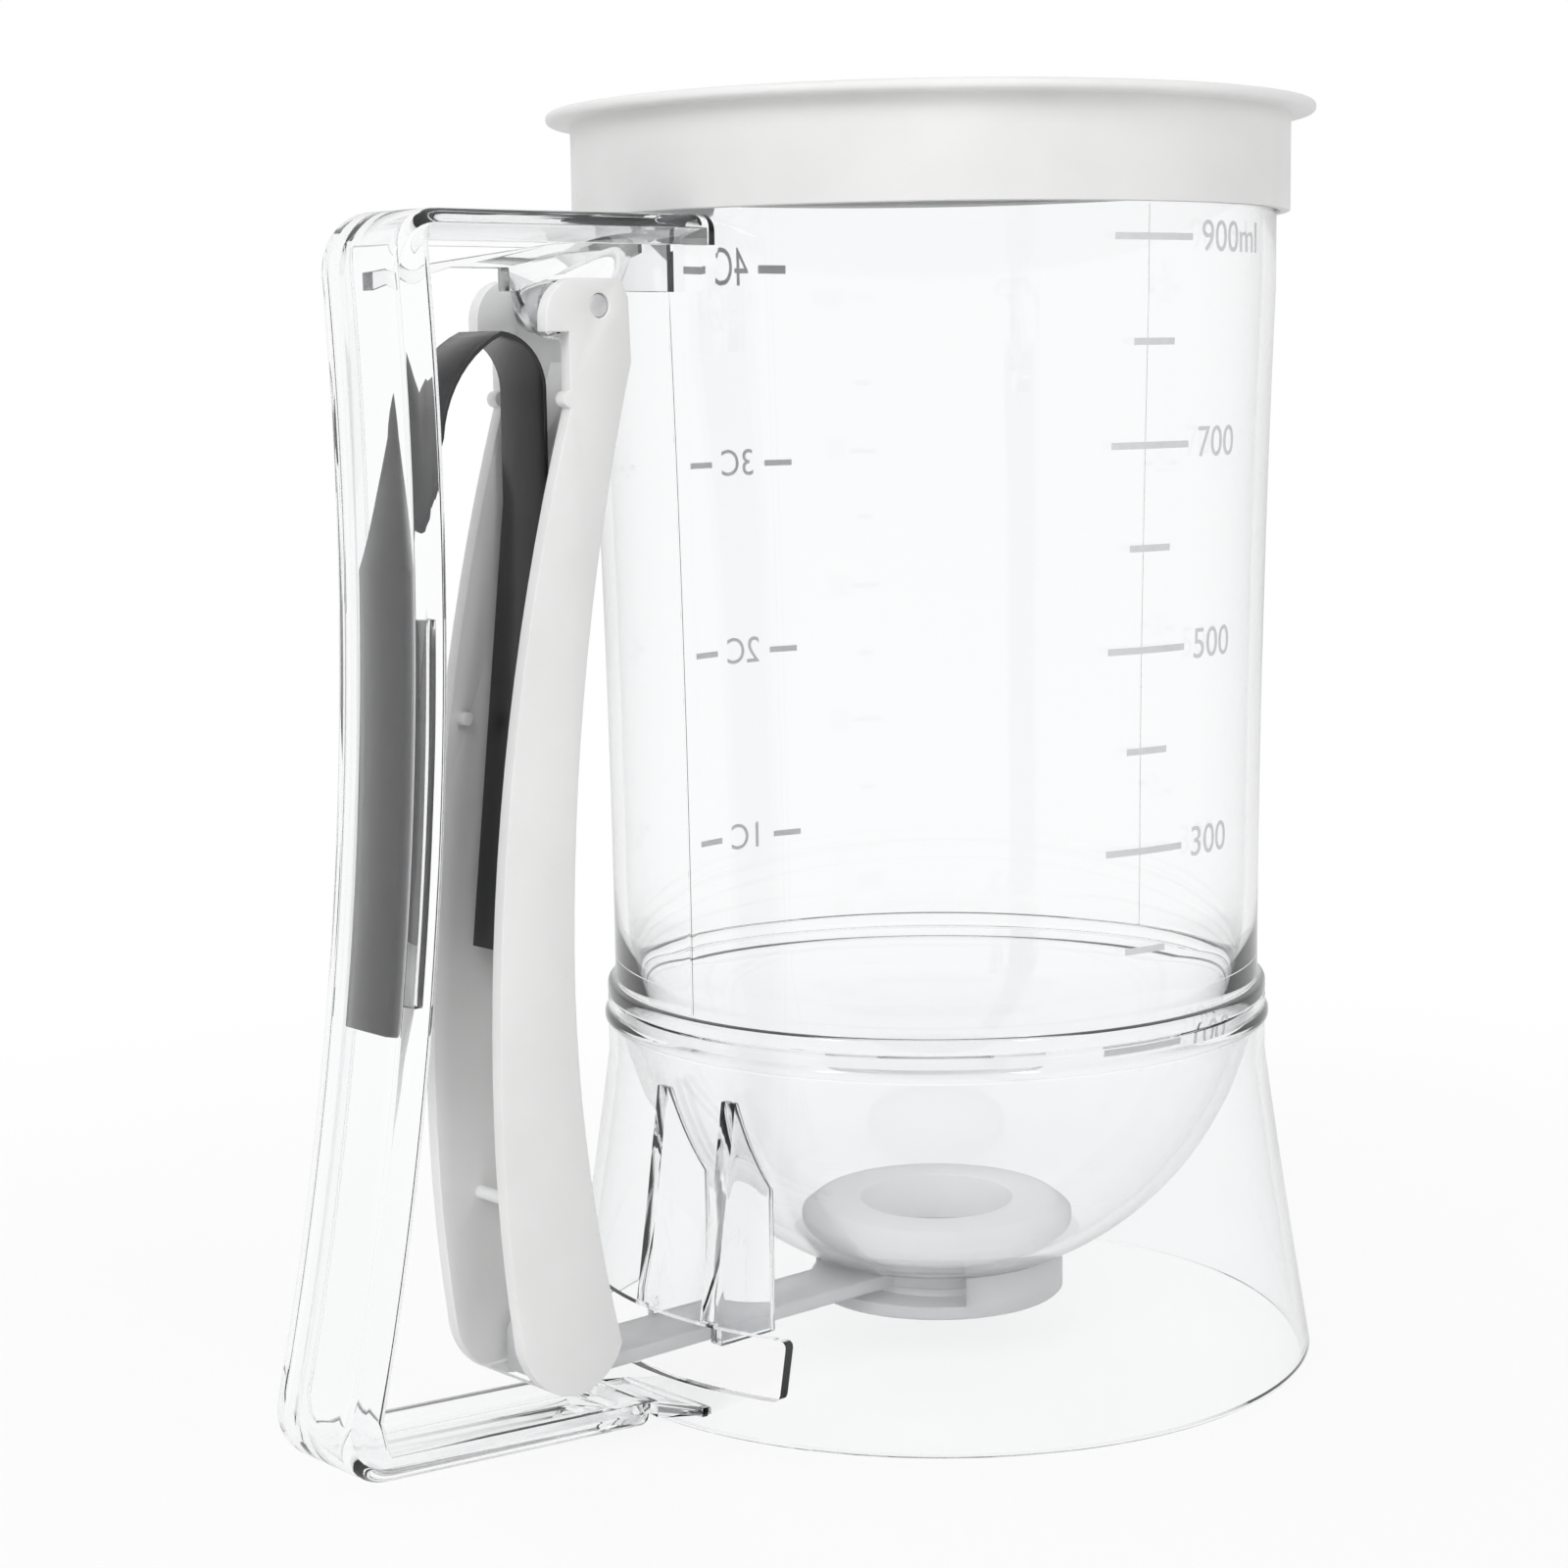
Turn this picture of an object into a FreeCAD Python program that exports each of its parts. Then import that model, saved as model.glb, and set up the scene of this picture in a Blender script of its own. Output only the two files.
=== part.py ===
"""Pancake batter dispenser: clear jug with a squeeze lever that pulls a slide valve under its outlet.

Every piece is drawn about the jug's axis, in millimetres, with +Z up and the handle towards -X.
The last step moves them all together, so that the origin is under the middle of the whole object.
"""
import FreeCAD, Part
import math
import os
import re
import Sketcher

# Driving sizes in millimetres, one cell of the sheet each
SIZES = {
    # Jug
    "jug_radius": 51.0,
    "jug_wall": 2.0,
    "rim_height": 184.6,
    "straight_height": 160.0,
    "waist_radius": 49.0,
    "waist_height": 66.0,
    "jug_curve": 2600.0,
    "collar_radius": 50.2,
    "collar_top": 57.2,
    "collar_height": 55.0,
    "bowl_radius": 48.5,
    "bowl_centre": 58.5,
    "bowl_wall": 1.8,
    "floor_height": 14.0,
    "outlet_hole": 13.5,
    # Base skirt
    "base_radius": 57.4,
    "skirt_shoulder": 46.0,
    "skirt_curve": 1400.0,
    "skirt_wall": 1.6,
    "bead_height": 52.0,
    "bead_proud": 0.5,
    "window_low": 6.0,
    "window_high": 14.5,
    "window_width": 42.0,
    "guide_room": 0.5,
    "guide_wall": 2.5,
    "guide_reach": 41.0,
    "guide_low": 11.0,
    # Handle
    "handle_width": 18.0,
    "handle_web": 2.0,
    "handle_side": 2.0,
    "handle_depth": 5.4,
    "grip_waist": 101.9,
    "grip_curve": 480.0,
    "grip_middle": 130.0,
    "arm_top": 170.1,
    "arm_height": 4.2,
    "top_corner": 8.0,
    "low_corner": 7.5,
    "heel_height": 14.5,
    "foot_back": 5.9,
    "foot_front": 1.8,
    "foot_height": 3.8,
    "foot_step": 64.3,
    "tongue_reach": 54.0,
    "tongue_wall": 1.2,
    "rib_wall": 2.4,
    "rib_low": 159.8,
    "keeper_low": 68.0,
    "keeper_high": 118.0,
    "keeper_overlap": 0.6,
    "keeper_wall": 1.2,
    # Lever and its pin
    "pivot_reach": 70.0,
    "pivot_height": 157.8,
    "pin_radius": 1.6,
    "pin_clearance": 0.05,
    "hub_radius": 4.4,
    "hook_reach": 9.4,
    "hook_bend": 7.5,
    "rib_step": 3.0,
    "lever_width": 17.0,
    "lever_wall": 2.0,
    "lever_back_top": 64.8,
    "lever_back_middle": 76.8,
    "lever_back_low": 70.0,
    "lever_back_start": 150.4,
    "lever_back_turn": 66.0,
    "lever_back_curve": 300.0,
    "lever_heel_curve": 210.0,
    "lever_front_top": 75.2,
    "lever_front_middle": 89.6,
    "lever_front_low": 87.3,
    "lever_front_curve": 297.0,
    "lever_toe_curve": 226.0,
    "lever_heel_height": 16.0,
    "lever_heel_bend": 9.0,
    "lever_toe_reach": 78.1,
    "lever_toe_bend": 10.5,
    "lever_toe_height": 20.0,
    "lever_knee_height": 50.0,
    "lever_neck_height": 144.5,
    "lever_bottom": 10.2,
    "foot_slot_reach": 82.4,
    "foot_slot_top": 16.0,
    "ear_top": 161.4,
    "ear_low": 154.4,
    "ear_reach": 9.0,
    "ear_edge": 1.3,
    "ear_flat": 3.6,
    "ear_radius": 5.4,
    "nub_radius": 1.1,
    "peg_radius": 1.5,
    "peg_reach": 76.5,
    "peg_height": 14.6,
    "bar_radius": 0.9,
    "bar_reach": 82.5,
    "bar_height": 37.0,
    "stub_reach": 83.5,
    "stub_height": 103.0,
    # Return spring
    "spring_width": 9.5,
    "spring_thickness": 0.6,
    "spring_foot": 64.0,
    "grip_leg_top": 124.0,
    "shoulder_reach": 93.4,
    "shoulder_height": 141.0,
    "shoulder_bend": 16.0,
    "crown_reach": 83.4,
    "crown_bend": 7.6,
    "spring_arch_top": 154.6,
    "leg_high_reach": 76.6,
    "leg_high": 132.0,
    "leg_low_reach": 83.7,
    "leg_low": 72.0,
    # Slide valve, seat and nozzle ring
    "slide_room": 1.25,
    "slide_thickness": 2.1,
    "slide_low": 11.2,
    "peg_lift": 2.2,
    "eye_half": 3.3,
    "eye_flat": 0.1,
    "gate_radius": 15.5,
    "outlet_radius": 11.75,
    "seat_radius": 21.2,
    "seat_top": 21.3,
    "seat_top_radius": 18.5,
    "seat_bevel": 1.9,
    "nozzle_radius": 19.5,
    "nozzle_wall": 2.0,
    "nozzle_low": 7.6,
    "nozzle_ledge": 9.6,
    # Lid
    "lid_flange": 3.6,
    "lid_skirt_wall": 1.75,
    "lid_skirt_height": 14.1,
    "lid_wall": 1.5,
    "plug_height": 5.0,
    "plug_wall": 1.3,
    # Clearances
    "slide_clearance": 0.3,
    "lid_clearance": 0.25,
}

PARTS_FOLDER = "parts"
SLIDE_WIDTH = "(lever_width - 2 * lever_wall - 2 * slide_room)"
GUIDE_GAP = "(%s + 2 * guide_room)" % SLIDE_WIDTH
WORDS = re.compile(r"\b(" + "|".join(sorted(SIZES, key=len, reverse=True)) + r")\b")

doc = FreeCAD.newDocument("BatterDispenser")
sheet = doc.addObject("Spreadsheet::Sheet", "Sizes")
pieces = []


def fill_sheet():
    """Write each driving size into its own cell and give the cell its alias."""
    for row, (name, size) in enumerate(SIZES.items(), start=1):
        sheet.set("A%d" % row, name)
        sheet.set("B%d" % row, str(size))
        sheet.setAlias("B%d" % row, name)
    doc.recompute()


def bound(text):
    """Turn a formula in the sheet's words into an expression on its cells."""
    return WORDS.sub(r"Sizes.\1", str(text))


def value(text):
    """Work out a formula in the sheet's words as a number."""
    return float(sheet.evalExpression(WORDS.sub(r"\1", str(text))))


def drive(item, prop, text):
    """Set a property of an object by a formula in the sheet's words."""
    item.setExpression(prop, bound(text))


def new_body(name):
    """Start a body whose label is its node's name."""
    body = doc.addObject("PartDesign::Body", name)
    body.Label = name
    pieces.append(body)
    return body


def origin_plane(body, role):
    """Find one of the body's own origin planes by its role."""
    return [item for item in body.Origin.OriginFeatures if item.Role == role][0]


def new_sketch(body, name, role, lift=None):
    """Lay an empty sketch on one of the body's origin planes, lifted by a formula."""
    sketch = body.newObject("Sketcher::SketchObject", name)
    sketch.AttachmentSupport = [(origin_plane(body, role), "")]
    sketch.MapMode = "FlatFace"
    if lift is not None:
        drive(sketch, ".AttachmentOffset.Base.z", lift)
    return sketch


def arc_between(start, end, radius, centre_left):
    """Draw the shorter arc between two points, its centre on the left or right of the way."""
    half = (end - start) * 0.5
    across = FreeCAD.Vector(-half.y, half.x, 0).normalize()
    rise = math.sqrt(max(radius ** 2 - half.Length ** 2, 0.0))
    centre = start + half + across * (rise if centre_left else -rise)
    first, last = (start, end) if centre_left else (end, start)
    angles = [math.atan2(p.y - centre.y, p.x - centre.x) for p in (first, last)]
    if angles[1] < angles[0]:
        angles[1] += 2 * math.pi
    circle = Part.Circle(centre, FreeCAD.Vector(0, 0, 1), radius)
    return Part.ArcOfCircle(circle, angles[0], angles[1])


def outline(sketch, corners, closed=True):
    """Draw a run of lines and arcs through corners that follow the sheet.

    A corner is (x, y) or (x, y, radius, side): the edge that leaves it is then an arc of that
    radius, with its centre on that side of the way, "left" or "right".
    """
    spots = [FreeCAD.Vector(value(c[0]), value(c[1]), 0) for c in corners]
    count = len(corners) if closed else len(corners) - 1
    ends = []
    for index in range(count):
        start, end = spots[index], spots[(index + 1) % len(spots)]
        corner = corners[index]
        if len(corner) == 2:
            sketch.addGeometry(Part.LineSegment(start, end))
            ends.append((1, 2))
            continue
        left = corner[3] == "left"
        radius = value(corner[2])
        sketch.addGeometry(arc_between(start, end, radius, left))
        ends.append((1, 2) if left else (2, 1))
        row = sketch.addConstraint(Sketcher.Constraint("Radius", index, radius))
        drive(sketch, "Constraints[%d]" % row, corner[2])
    for index in range(count if closed else count - 1):
        after = (index + 1) % count
        joint = Sketcher.Constraint("Coincident", index, ends[index][1], after, ends[after][0])
        sketch.addConstraint(joint)
    for index, corner in enumerate(corners):
        edge, end = (index, ends[index][0]) if index < count else (count - 1, ends[-1][1])
        for kind, text in (("DistanceX", corner[0]), ("DistanceY", corner[1])):
            place = Sketcher.Constraint(kind, -1, 1, edge, end, value(text))
            row = sketch.addConstraint(place)
            drive(sketch, "Constraints[%d]" % row, text)
    return sketch


def ring(sketch, across, up, radius):
    """Draw a circle whose centre and radius follow the sheet."""
    centre = FreeCAD.Vector(value(across), value(up), 0)
    circle = Part.Circle(centre, FreeCAD.Vector(0, 0, 1), value(radius))
    edge = sketch.addGeometry(circle)
    for kind, text in (("DistanceX", across), ("DistanceY", up)):
        row = sketch.addConstraint(Sketcher.Constraint(kind, -1, 1, edge, 3, value(text)))
        drive(sketch, "Constraints[%d]" % row, text)
    row = sketch.addConstraint(Sketcher.Constraint("Radius", edge, value(radius)))
    drive(sketch, "Constraints[%d]" % row, radius)
    return sketch


def revolve(body, name, sketch, cut=False):
    """Turn a sketch on the XZ plane right round the jug's axis."""
    kind = "PartDesign::Groove" if cut else "PartDesign::Revolution"
    turned = body.newObject(kind, name)
    turned.Profile = sketch
    turned.ReferenceAxis = (sketch, ["V_Axis"])
    turned.Angle = 360.0
    return turned


def pad(body, name, sketch, length):
    """Grow a sketch into a solid, half the length to each side of its plane."""
    grown = body.newObject("PartDesign::Pad", name)
    grown.Profile = sketch
    grown.SideType = "Symmetric"
    drive(grown, "Length", length)
    return grown


def pocket(body, name, sketch, length):
    """Cut a sketch out of the solid, half the length to each side of its plane."""
    doc.recompute()
    before = body.Shape.Volume
    cut = body.newObject("PartDesign::Pocket", name)
    cut.Profile = sketch
    cut.SideType = "Symmetric"
    drive(cut, "Length", length)
    doc.recompute()
    if body.Shape.Volume >= before:
        raise RuntimeError("%s of %s cuts nothing" % (name, body.Label))
    return cut


def grip_line(height, inward):
    """Formula for the grip's reach at a height, some way in from its outer face."""
    curve = "(grip_curve + %s)" % inward
    drop = "(%s - grip_middle)" % height
    return "-(grip_waist + grip_curve - sqrt(%s^2 - %s^2))" % (curve, drop)


def sphere_line(radius, height):
    """Formula for the bowl's radius at a height."""
    return "sqrt((%s)^2 - (bowl_centre - (%s))^2)" % (radius, height)


def foot_line(reach, above):
    """Formula for the height above the lower arm's sloping underside."""
    slope = "(foot_back - foot_front) / (%s + low_corner - tongue_reach)" % "grip_waist"
    return "foot_front + (%s - tongue_reach) * %s + %s" % (reach, slope, above)


def skirt_line(height):
    """Formula for the skirt's outer radius at a height, along its straight chord."""
    slope = "(base_radius - collar_radius) / skirt_shoulder"
    return "(base_radius - %s * (%s))" % (slope, height)


def make_container():
    """Turn the jug: a slender wall, a collar, a round bowl and a flat floor with the outlet hole."""
    body = new_body("container")
    profile = new_sketch(body, "Wall", "XZ_Plane")
    inner_floor = "floor_height + bowl_wall"
    outline(profile, [
        ("jug_radius", "rim_height"),
        ("jug_radius", "straight_height", "jug_curve", "left"),
        ("waist_radius", "waist_height"),
        ("waist_radius", "collar_top"),
        ("collar_radius", "collar_top"),
        ("collar_radius", "collar_height"),
        (sphere_line("bowl_radius", "collar_height"), "collar_height", "bowl_radius", "right"),
        (sphere_line("bowl_radius", "floor_height"), "floor_height"),
        ("outlet_hole", "floor_height"),
        ("outlet_hole", inner_floor),
        (sphere_line("bowl_radius - bowl_wall", inner_floor), inner_floor,
         "bowl_radius - bowl_wall", "left"),
        (sphere_line("bowl_radius - bowl_wall", "collar_height"), "collar_height"),
        ("waist_radius - jug_wall", "waist_height", "jug_curve", "right"),
        ("jug_radius - jug_wall", "straight_height"),
        ("jug_radius - jug_wall", "rim_height"),
    ])
    revolve(body, "Jug", profile)


def make_base_skirt():
    """Turn the flared skirt, cut its window and the tongue's slot, and add the two guide plates."""
    body = new_body("base_skirt")
    profile = new_sketch(body, "Flare", "XZ_Plane")
    outline(profile, [
        ("base_radius", "0", "skirt_curve", "right"),
        ("collar_radius", "skirt_shoulder"),
        ("collar_radius", "bead_height - 2 * bead_proud"),
        ("collar_radius + bead_proud", "bead_height - bead_proud"),
        ("collar_radius + bead_proud", "bead_height + bead_proud"),
        ("collar_radius", "bead_height + 2 * bead_proud"),
        ("collar_radius", "collar_height"),
        ("collar_radius - skirt_wall", "collar_height"),
        ("collar_radius - skirt_wall", "skirt_shoulder", "skirt_curve", "left"),
        ("base_radius - skirt_wall", "0"),
    ])
    revolve(body, "Skirt", profile)
    window = new_sketch(body, "WindowOutline", "XZ_Plane")
    outline(window, [
        ("-base_radius - jug_wall", "window_low"),
        ("-guide_reach", "window_low"),
        ("-guide_reach", "window_high"),
        ("-base_radius - jug_wall", "window_high"),
    ])
    pocket(body, "Window", window, "window_width")
    slot = new_sketch(body, "TongueSlotOutline", "XZ_Plane")
    outline(slot, [
        ("-foot_step", foot_line("foot_step", "0")),
        ("-tongue_reach", foot_line("tongue_reach", "0")),
        ("-tongue_reach", foot_line("tongue_reach", "tongue_wall")),
        ("-foot_step", foot_line("foot_step", "tongue_wall")),
    ])
    pocket(body, "TongueSlot", slot, "handle_width")
    for name, side in (("NearGuide", "-1"), ("FarGuide", "1")):
        middle = "%s * (%s + guide_wall) / 2" % (side, GUIDE_GAP)
        plate = new_sketch(body, name + "Outline", "XZ_Plane", "-(%s)" % middle)
        clear = "bowl_radius + slide_clearance"
        meet = "bowl_centre - sqrt((%s)^2 - guide_reach^2)" % clear
        wall_top = skirt_line("skirt_shoulder") + " - skirt_wall / 2"
        outline(plate, [
            ("-guide_reach", "guide_low"),
            ("-(%s - 2 * skirt_wall)" % skirt_line("window_high"), "guide_low"),
            ("-(%s - 2 * skirt_wall)" % skirt_line("window_high"), "window_high"),
            ("-(%s - skirt_wall / 2)" % skirt_line("window_high"), "window_high"),
            ("-(%s)" % wall_top, "skirt_shoulder"),
            ("-(%s)" % sphere_line(clear, "skirt_shoulder"), "skirt_shoulder", clear, "left"),
            ("-guide_reach", meet),
        ])
        pad(body, name, plate, "guide_wall")


def make_handle_frame():
    """Pad the loop's side view, sink its channel, and add the hanging rib, its hub and the keepers."""
    body = new_body("handle_frame")
    loop = new_sketch(body, "LoopOutline", "XZ_Plane")
    reach_top = grip_line("(arm_top - top_corner)", "0")
    heel = grip_line("heel_height", "0")
    foot_start = "(grip_waist + low_corner)"
    outline(loop, [
        ("-jug_radius + jug_wall", "arm_top"),
        ("%s + top_corner" % reach_top, "arm_top", "top_corner", "left"),
        (reach_top, "arm_top - top_corner", "grip_curve", "right"),
        (heel, "heel_height", "low_corner", "left"),
        ("-" + foot_start, "foot_back"),
        ("-tongue_reach", "foot_front"),
        ("-tongue_reach", "foot_front + tongue_wall"),
        ("-foot_step", foot_line("foot_step", "tongue_wall")),
        ("-foot_step", foot_line("foot_step", "foot_height")),
        ("-" + foot_start, foot_line(foot_start, "foot_height")),
        (grip_line("heel_height", "handle_depth"), "heel_height",
         "grip_curve + handle_depth", "left"),
        (grip_line("(arm_top - arm_height)", "handle_depth"), "arm_top - arm_height"),
        ("-jug_radius + jug_wall", "arm_top - arm_height"),
    ])
    pad(body, "Loop", loop, "handle_width")
    channel = new_sketch(body, "ChannelOutline", "XZ_Plane")
    inner_top = grip_line("(arm_top - top_corner)", "handle_web")
    outline(channel, [
        ("-jug_radius + jug_wall / 2", "arm_top - handle_web"),
        ("%s + top_corner - handle_web" % inner_top, "arm_top - handle_web",
         "top_corner - handle_web", "left"),
        (inner_top, "arm_top - top_corner", "grip_curve + handle_web", "right"),
        (grip_line("heel_height", "handle_web"), "heel_height",
         "low_corner - handle_web", "left"),
        ("-" + foot_start, foot_line(foot_start, "handle_web")),
        ("-(foot_step + handle_side)", foot_line("(foot_step + handle_side)", "handle_web")),
        ("-(foot_step + handle_side)", foot_line("foot_step", "2 * foot_height")),
        (grip_line("grip_middle", "2 * handle_depth"), foot_line(foot_start, "4 * foot_height")),
        (grip_line("grip_middle", "2 * handle_depth"), "arm_top - 2 * arm_height"),
        ("-jug_radius + jug_wall / 2", "arm_top - 2 * arm_height"),
    ])
    pocket(body, "Channel", channel, "handle_width - 2 * handle_side")
    rib = new_sketch(body, "RibOutline", "XZ_Plane")
    outline(rib, [
        ("-jug_radius + jug_wall", "arm_top - handle_web / 2"),
        ("-(grip_waist - handle_web)", "arm_top - top_corner"),
        ("-(grip_waist - handle_web)", "rib_low"),
        ("-(pivot_reach + 2 * hook_reach)", "rib_low + rib_step"),
        ("-(pivot_reach + hook_reach)", "rib_low + rib_step"),
        ("-(pivot_reach + hook_reach)", "rib_low"),
        ("-(pivot_reach + hook_reach - handle_web)", "rib_low", "hook_bend", "left"),
        ("-pivot_reach", "pivot_height - hub_radius"),
        ("-pivot_reach + hub_radius", "pivot_height - hub_radius"),
        ("-pivot_reach + 2 * hub_radius", "rib_low"),
        ("-jug_radius + jug_wall", "rib_low"),
    ])
    pad(body, "HangingRib", rib, "rib_wall")
    hub = new_sketch(body, "HubOutline", "XZ_Plane")
    ring(hub, "-pivot_reach", "pivot_height", "hub_radius - 1")
    pad(body, "Hub", hub, "lever_width - 2 * lever_wall - 4 * slide_clearance")
    bore = new_sketch(body, "PivotHole", "XZ_Plane")
    ring(bore, "-pivot_reach", "pivot_height", "pin_radius")
    pocket(body, "Pivot", bore, "handle_width")
    front = "handle_web + spring_thickness + 2 * slide_clearance"
    for name, side in (("NearKeeper", "-1"), ("FarKeeper", "1")):
        depth = "(handle_width - spring_width) / 2 - handle_side + keeper_overlap"
        middle = "%s * (handle_width / 2 - handle_side - (%s) / 2)" % (side, depth)
        keeper = new_sketch(body, name + "Outline", "XZ_Plane", "-(%s)" % middle)
        outline(keeper, [
            (grip_line("keeper_low", front), "keeper_low", "grip_curve + " + front, "left"),
            (grip_line("keeper_high", front), "keeper_high"),
            (grip_line("keeper_high", front + " + keeper_wall"), "keeper_high",
             "grip_curve + %s + keeper_wall" % front, "right"),
            (grip_line("keeper_low", front + " + keeper_wall"), "keeper_low"),
        ])
        pad(body, name, keeper, depth)
    seat = new_sketch(body, "JugSeat", "XZ_Plane")
    outline(seat, [
        ("0", "lever_neck_height"),
        ("jug_radius", "lever_neck_height"),
        ("jug_radius", "rim_height"),
        ("0", "rim_height"),
    ])
    revolve(body, "JugHollow", seat, cut=True)


def make_squeeze_lever():
    """Pad the lever's side view, hollow it from the front, slot its foot and add its pegs."""
    body = new_body("squeeze_lever")
    side = new_sketch(body, "SideOutline", "XZ_Plane")
    outline(side, [
        ("-lever_back_top", "lever_back_start", "lever_back_curve", "left"),
        ("-lever_back_middle", "lever_back_turn", "lever_heel_curve", "left"),
        ("-lever_back_low", "lever_heel_height", "lever_heel_bend", "right"),
        ("-lever_toe_reach", "lever_bottom", "lever_toe_bend", "right"),
        ("-lever_front_low", "lever_toe_height", "lever_toe_curve", "right"),
        ("-lever_front_middle", "lever_knee_height", "lever_front_curve", "right"),
        ("-lever_front_top", "lever_neck_height"),
        ("-lever_front_top", "ear_low"),
        ("-pivot_reach - ear_reach", "ear_low"),
        ("-pivot_reach - ear_reach", "ear_low + ear_edge", "ear_radius", "right"),
        ("-pivot_reach - ear_flat", "ear_top"),
        ("-pivot_reach + ear_flat", "ear_top"),
        ("-lever_back_top - ear_edge / 4", "ear_top - 2 * ear_edge"),
    ])
    pad(body, "Side", side, "lever_width")
    hollow = new_sketch(body, "HollowOutline", "XZ_Plane")
    outline(hollow, [
        ("-lever_back_top - lever_wall", "lever_back_start", "lever_back_curve", "left"),
        ("-lever_back_middle - lever_wall", "lever_back_turn", "lever_heel_curve", "left"),
        ("-lever_back_low - lever_wall", "lever_heel_height", "lever_heel_bend - lever_wall", "right"),
        ("-lever_toe_reach", "lever_bottom + lever_wall"),
        ("-lever_front_middle - lever_width", "lever_bottom + lever_wall"),
        ("-lever_front_middle - lever_width", "ear_top + lever_wall"),
        ("-lever_back_top + lever_wall", "ear_top + lever_wall"),
        ("-lever_back_top + lever_wall", "lever_back_start"),
    ])
    pocket(body, "Hollow", hollow, "lever_width - 2 * lever_wall")
    foot = new_sketch(body, "FootSlotOutline", "XZ_Plane")
    outline(foot, [
        ("-base_radius", "0"),
        ("-base_radius", "foot_slot_top"),
        ("-foot_slot_reach", "foot_slot_top"),
        ("-foot_slot_reach", "0"),
    ])
    pocket(body, "FootSlot", foot, GUIDE_GAP)
    spine = new_sketch(body, "SpineOutline", "XZ_Plane")
    behind_leg = "slide_clearance + spring_thickness / 2"
    outline(spine, [
        ("-lever_back_top - lever_wall / 2", "lever_back_start", "lever_back_curve", "left"),
        ("-lever_back_middle - lever_wall / 2", "lever_back_turn"),
        ("-leg_low_reach + " + behind_leg, "leg_low"),
        ("-leg_high_reach + " + behind_leg, "leg_high"),
        ("-leg_high_reach + 2 * lever_wall", "leg_high + 4 * lever_wall"),
    ])
    pad(body, "Spine", spine, "lever_wall")
    cross = new_sketch(body, "CrossPegOutline", "XZ_Plane")
    ring(cross, "-peg_reach", "peg_height", "peg_radius")
    pad(body, "CrossPeg", cross, "lever_width - lever_wall")
    bar = new_sketch(body, "CrossBarOutline", "XZ_Plane")
    ring(bar, "-bar_reach", "bar_height", "bar_radius")
    pad(body, "CrossBar", bar, "lever_width - lever_wall")
    stub_length = "3 * bar_radius"
    stub_middle = "lever_width / 2 - lever_wall / 2 - %s / 2" % stub_length
    stub = new_sketch(body, "FlangeStubOutline", "XZ_Plane", "-(%s)" % stub_middle)
    ring(stub, "-stub_reach", "stub_height", "bar_radius")
    pad(body, "FlangeStub", stub, stub_length)
    nub = new_sketch(body, "NubOutline", "XZ_Plane")
    ring(nub, "-lever_front_top", "lever_neck_height + nub_radius", "nub_radius")
    pad(body, "Nub", nub, "lever_width")
    clear = new_sketch(body, "NubClearOutline", "XZ_Plane")
    ring(clear, "-lever_front_top", "lever_neck_height + nub_radius", "nub_radius + slide_clearance")
    pocket(body, "NubClear", clear, "lever_width - 2 * lever_wall")
    bore = new_sketch(body, "PivotHole", "XZ_Plane")
    ring(bore, "-pivot_reach", "pivot_height", "pin_radius + pin_clearance")
    pocket(body, "Pivot", bore, "handle_width")


def make_pivot_pin():
    """Make the steel pin that carries the lever's two ears on the handle's hub."""
    pin = doc.addObject("Part::Cylinder", "pivot_pin")
    pin.Label = "pivot_pin"
    drive(pin, "Radius", "pin_radius")
    drive(pin, "Height", "lever_width - 2 * slide_clearance")
    drive(pin, ".Placement.Base.x", "-pivot_reach")
    drive(pin, ".Placement.Base.y", "lever_width / 2 - slide_clearance")
    drive(pin, ".Placement.Base.z", "pivot_height")
    pin.Placement.Rotation = FreeCAD.Rotation(FreeCAD.Vector(1, 0, 0), 90)
    pieces.append(pin)


def make_return_spring():
    """Sweep the steel strip along its bent path, from the grip's channel over to the lever."""
    body = new_body("return_spring")
    path = new_sketch(body, "Path", "XZ_Plane")
    inward = "(handle_web + slide_clearance + spring_thickness / 2)"
    outline(path, [
        (grip_line("spring_foot", inward), "spring_foot", "grip_curve + " + inward, "left"),
        (grip_line("grip_leg_top", inward), "grip_leg_top"),
        ("-shoulder_reach", "shoulder_height", "shoulder_bend", "right"),
        ("-crown_reach", "spring_arch_top - spring_thickness / 2", "crown_bend", "right"),
        ("-leg_high_reach", "leg_high + 2 * crown_bend"),
        ("-leg_high_reach", "leg_high"),
        ("-leg_low_reach", "leg_low"),
    ], closed=False)
    strip = new_sketch(body, "Strip", "XY_Plane", "spring_foot")
    middle = grip_line("spring_foot", inward)
    outline(strip, [
        ("%s - spring_thickness / 2" % middle, "-spring_width / 2"),
        ("%s + spring_thickness / 2" % middle, "-spring_width / 2"),
        ("%s + spring_thickness / 2" % middle, "spring_width / 2"),
        ("%s - spring_thickness / 2" % middle, "spring_width / 2"),
    ])
    sweep = body.newObject("PartDesign::AdditivePipe", "Leaf")
    sweep.Profile = strip
    sweep.Spine = path
    sweep.Transition = 1
    doc.recompute()


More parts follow.
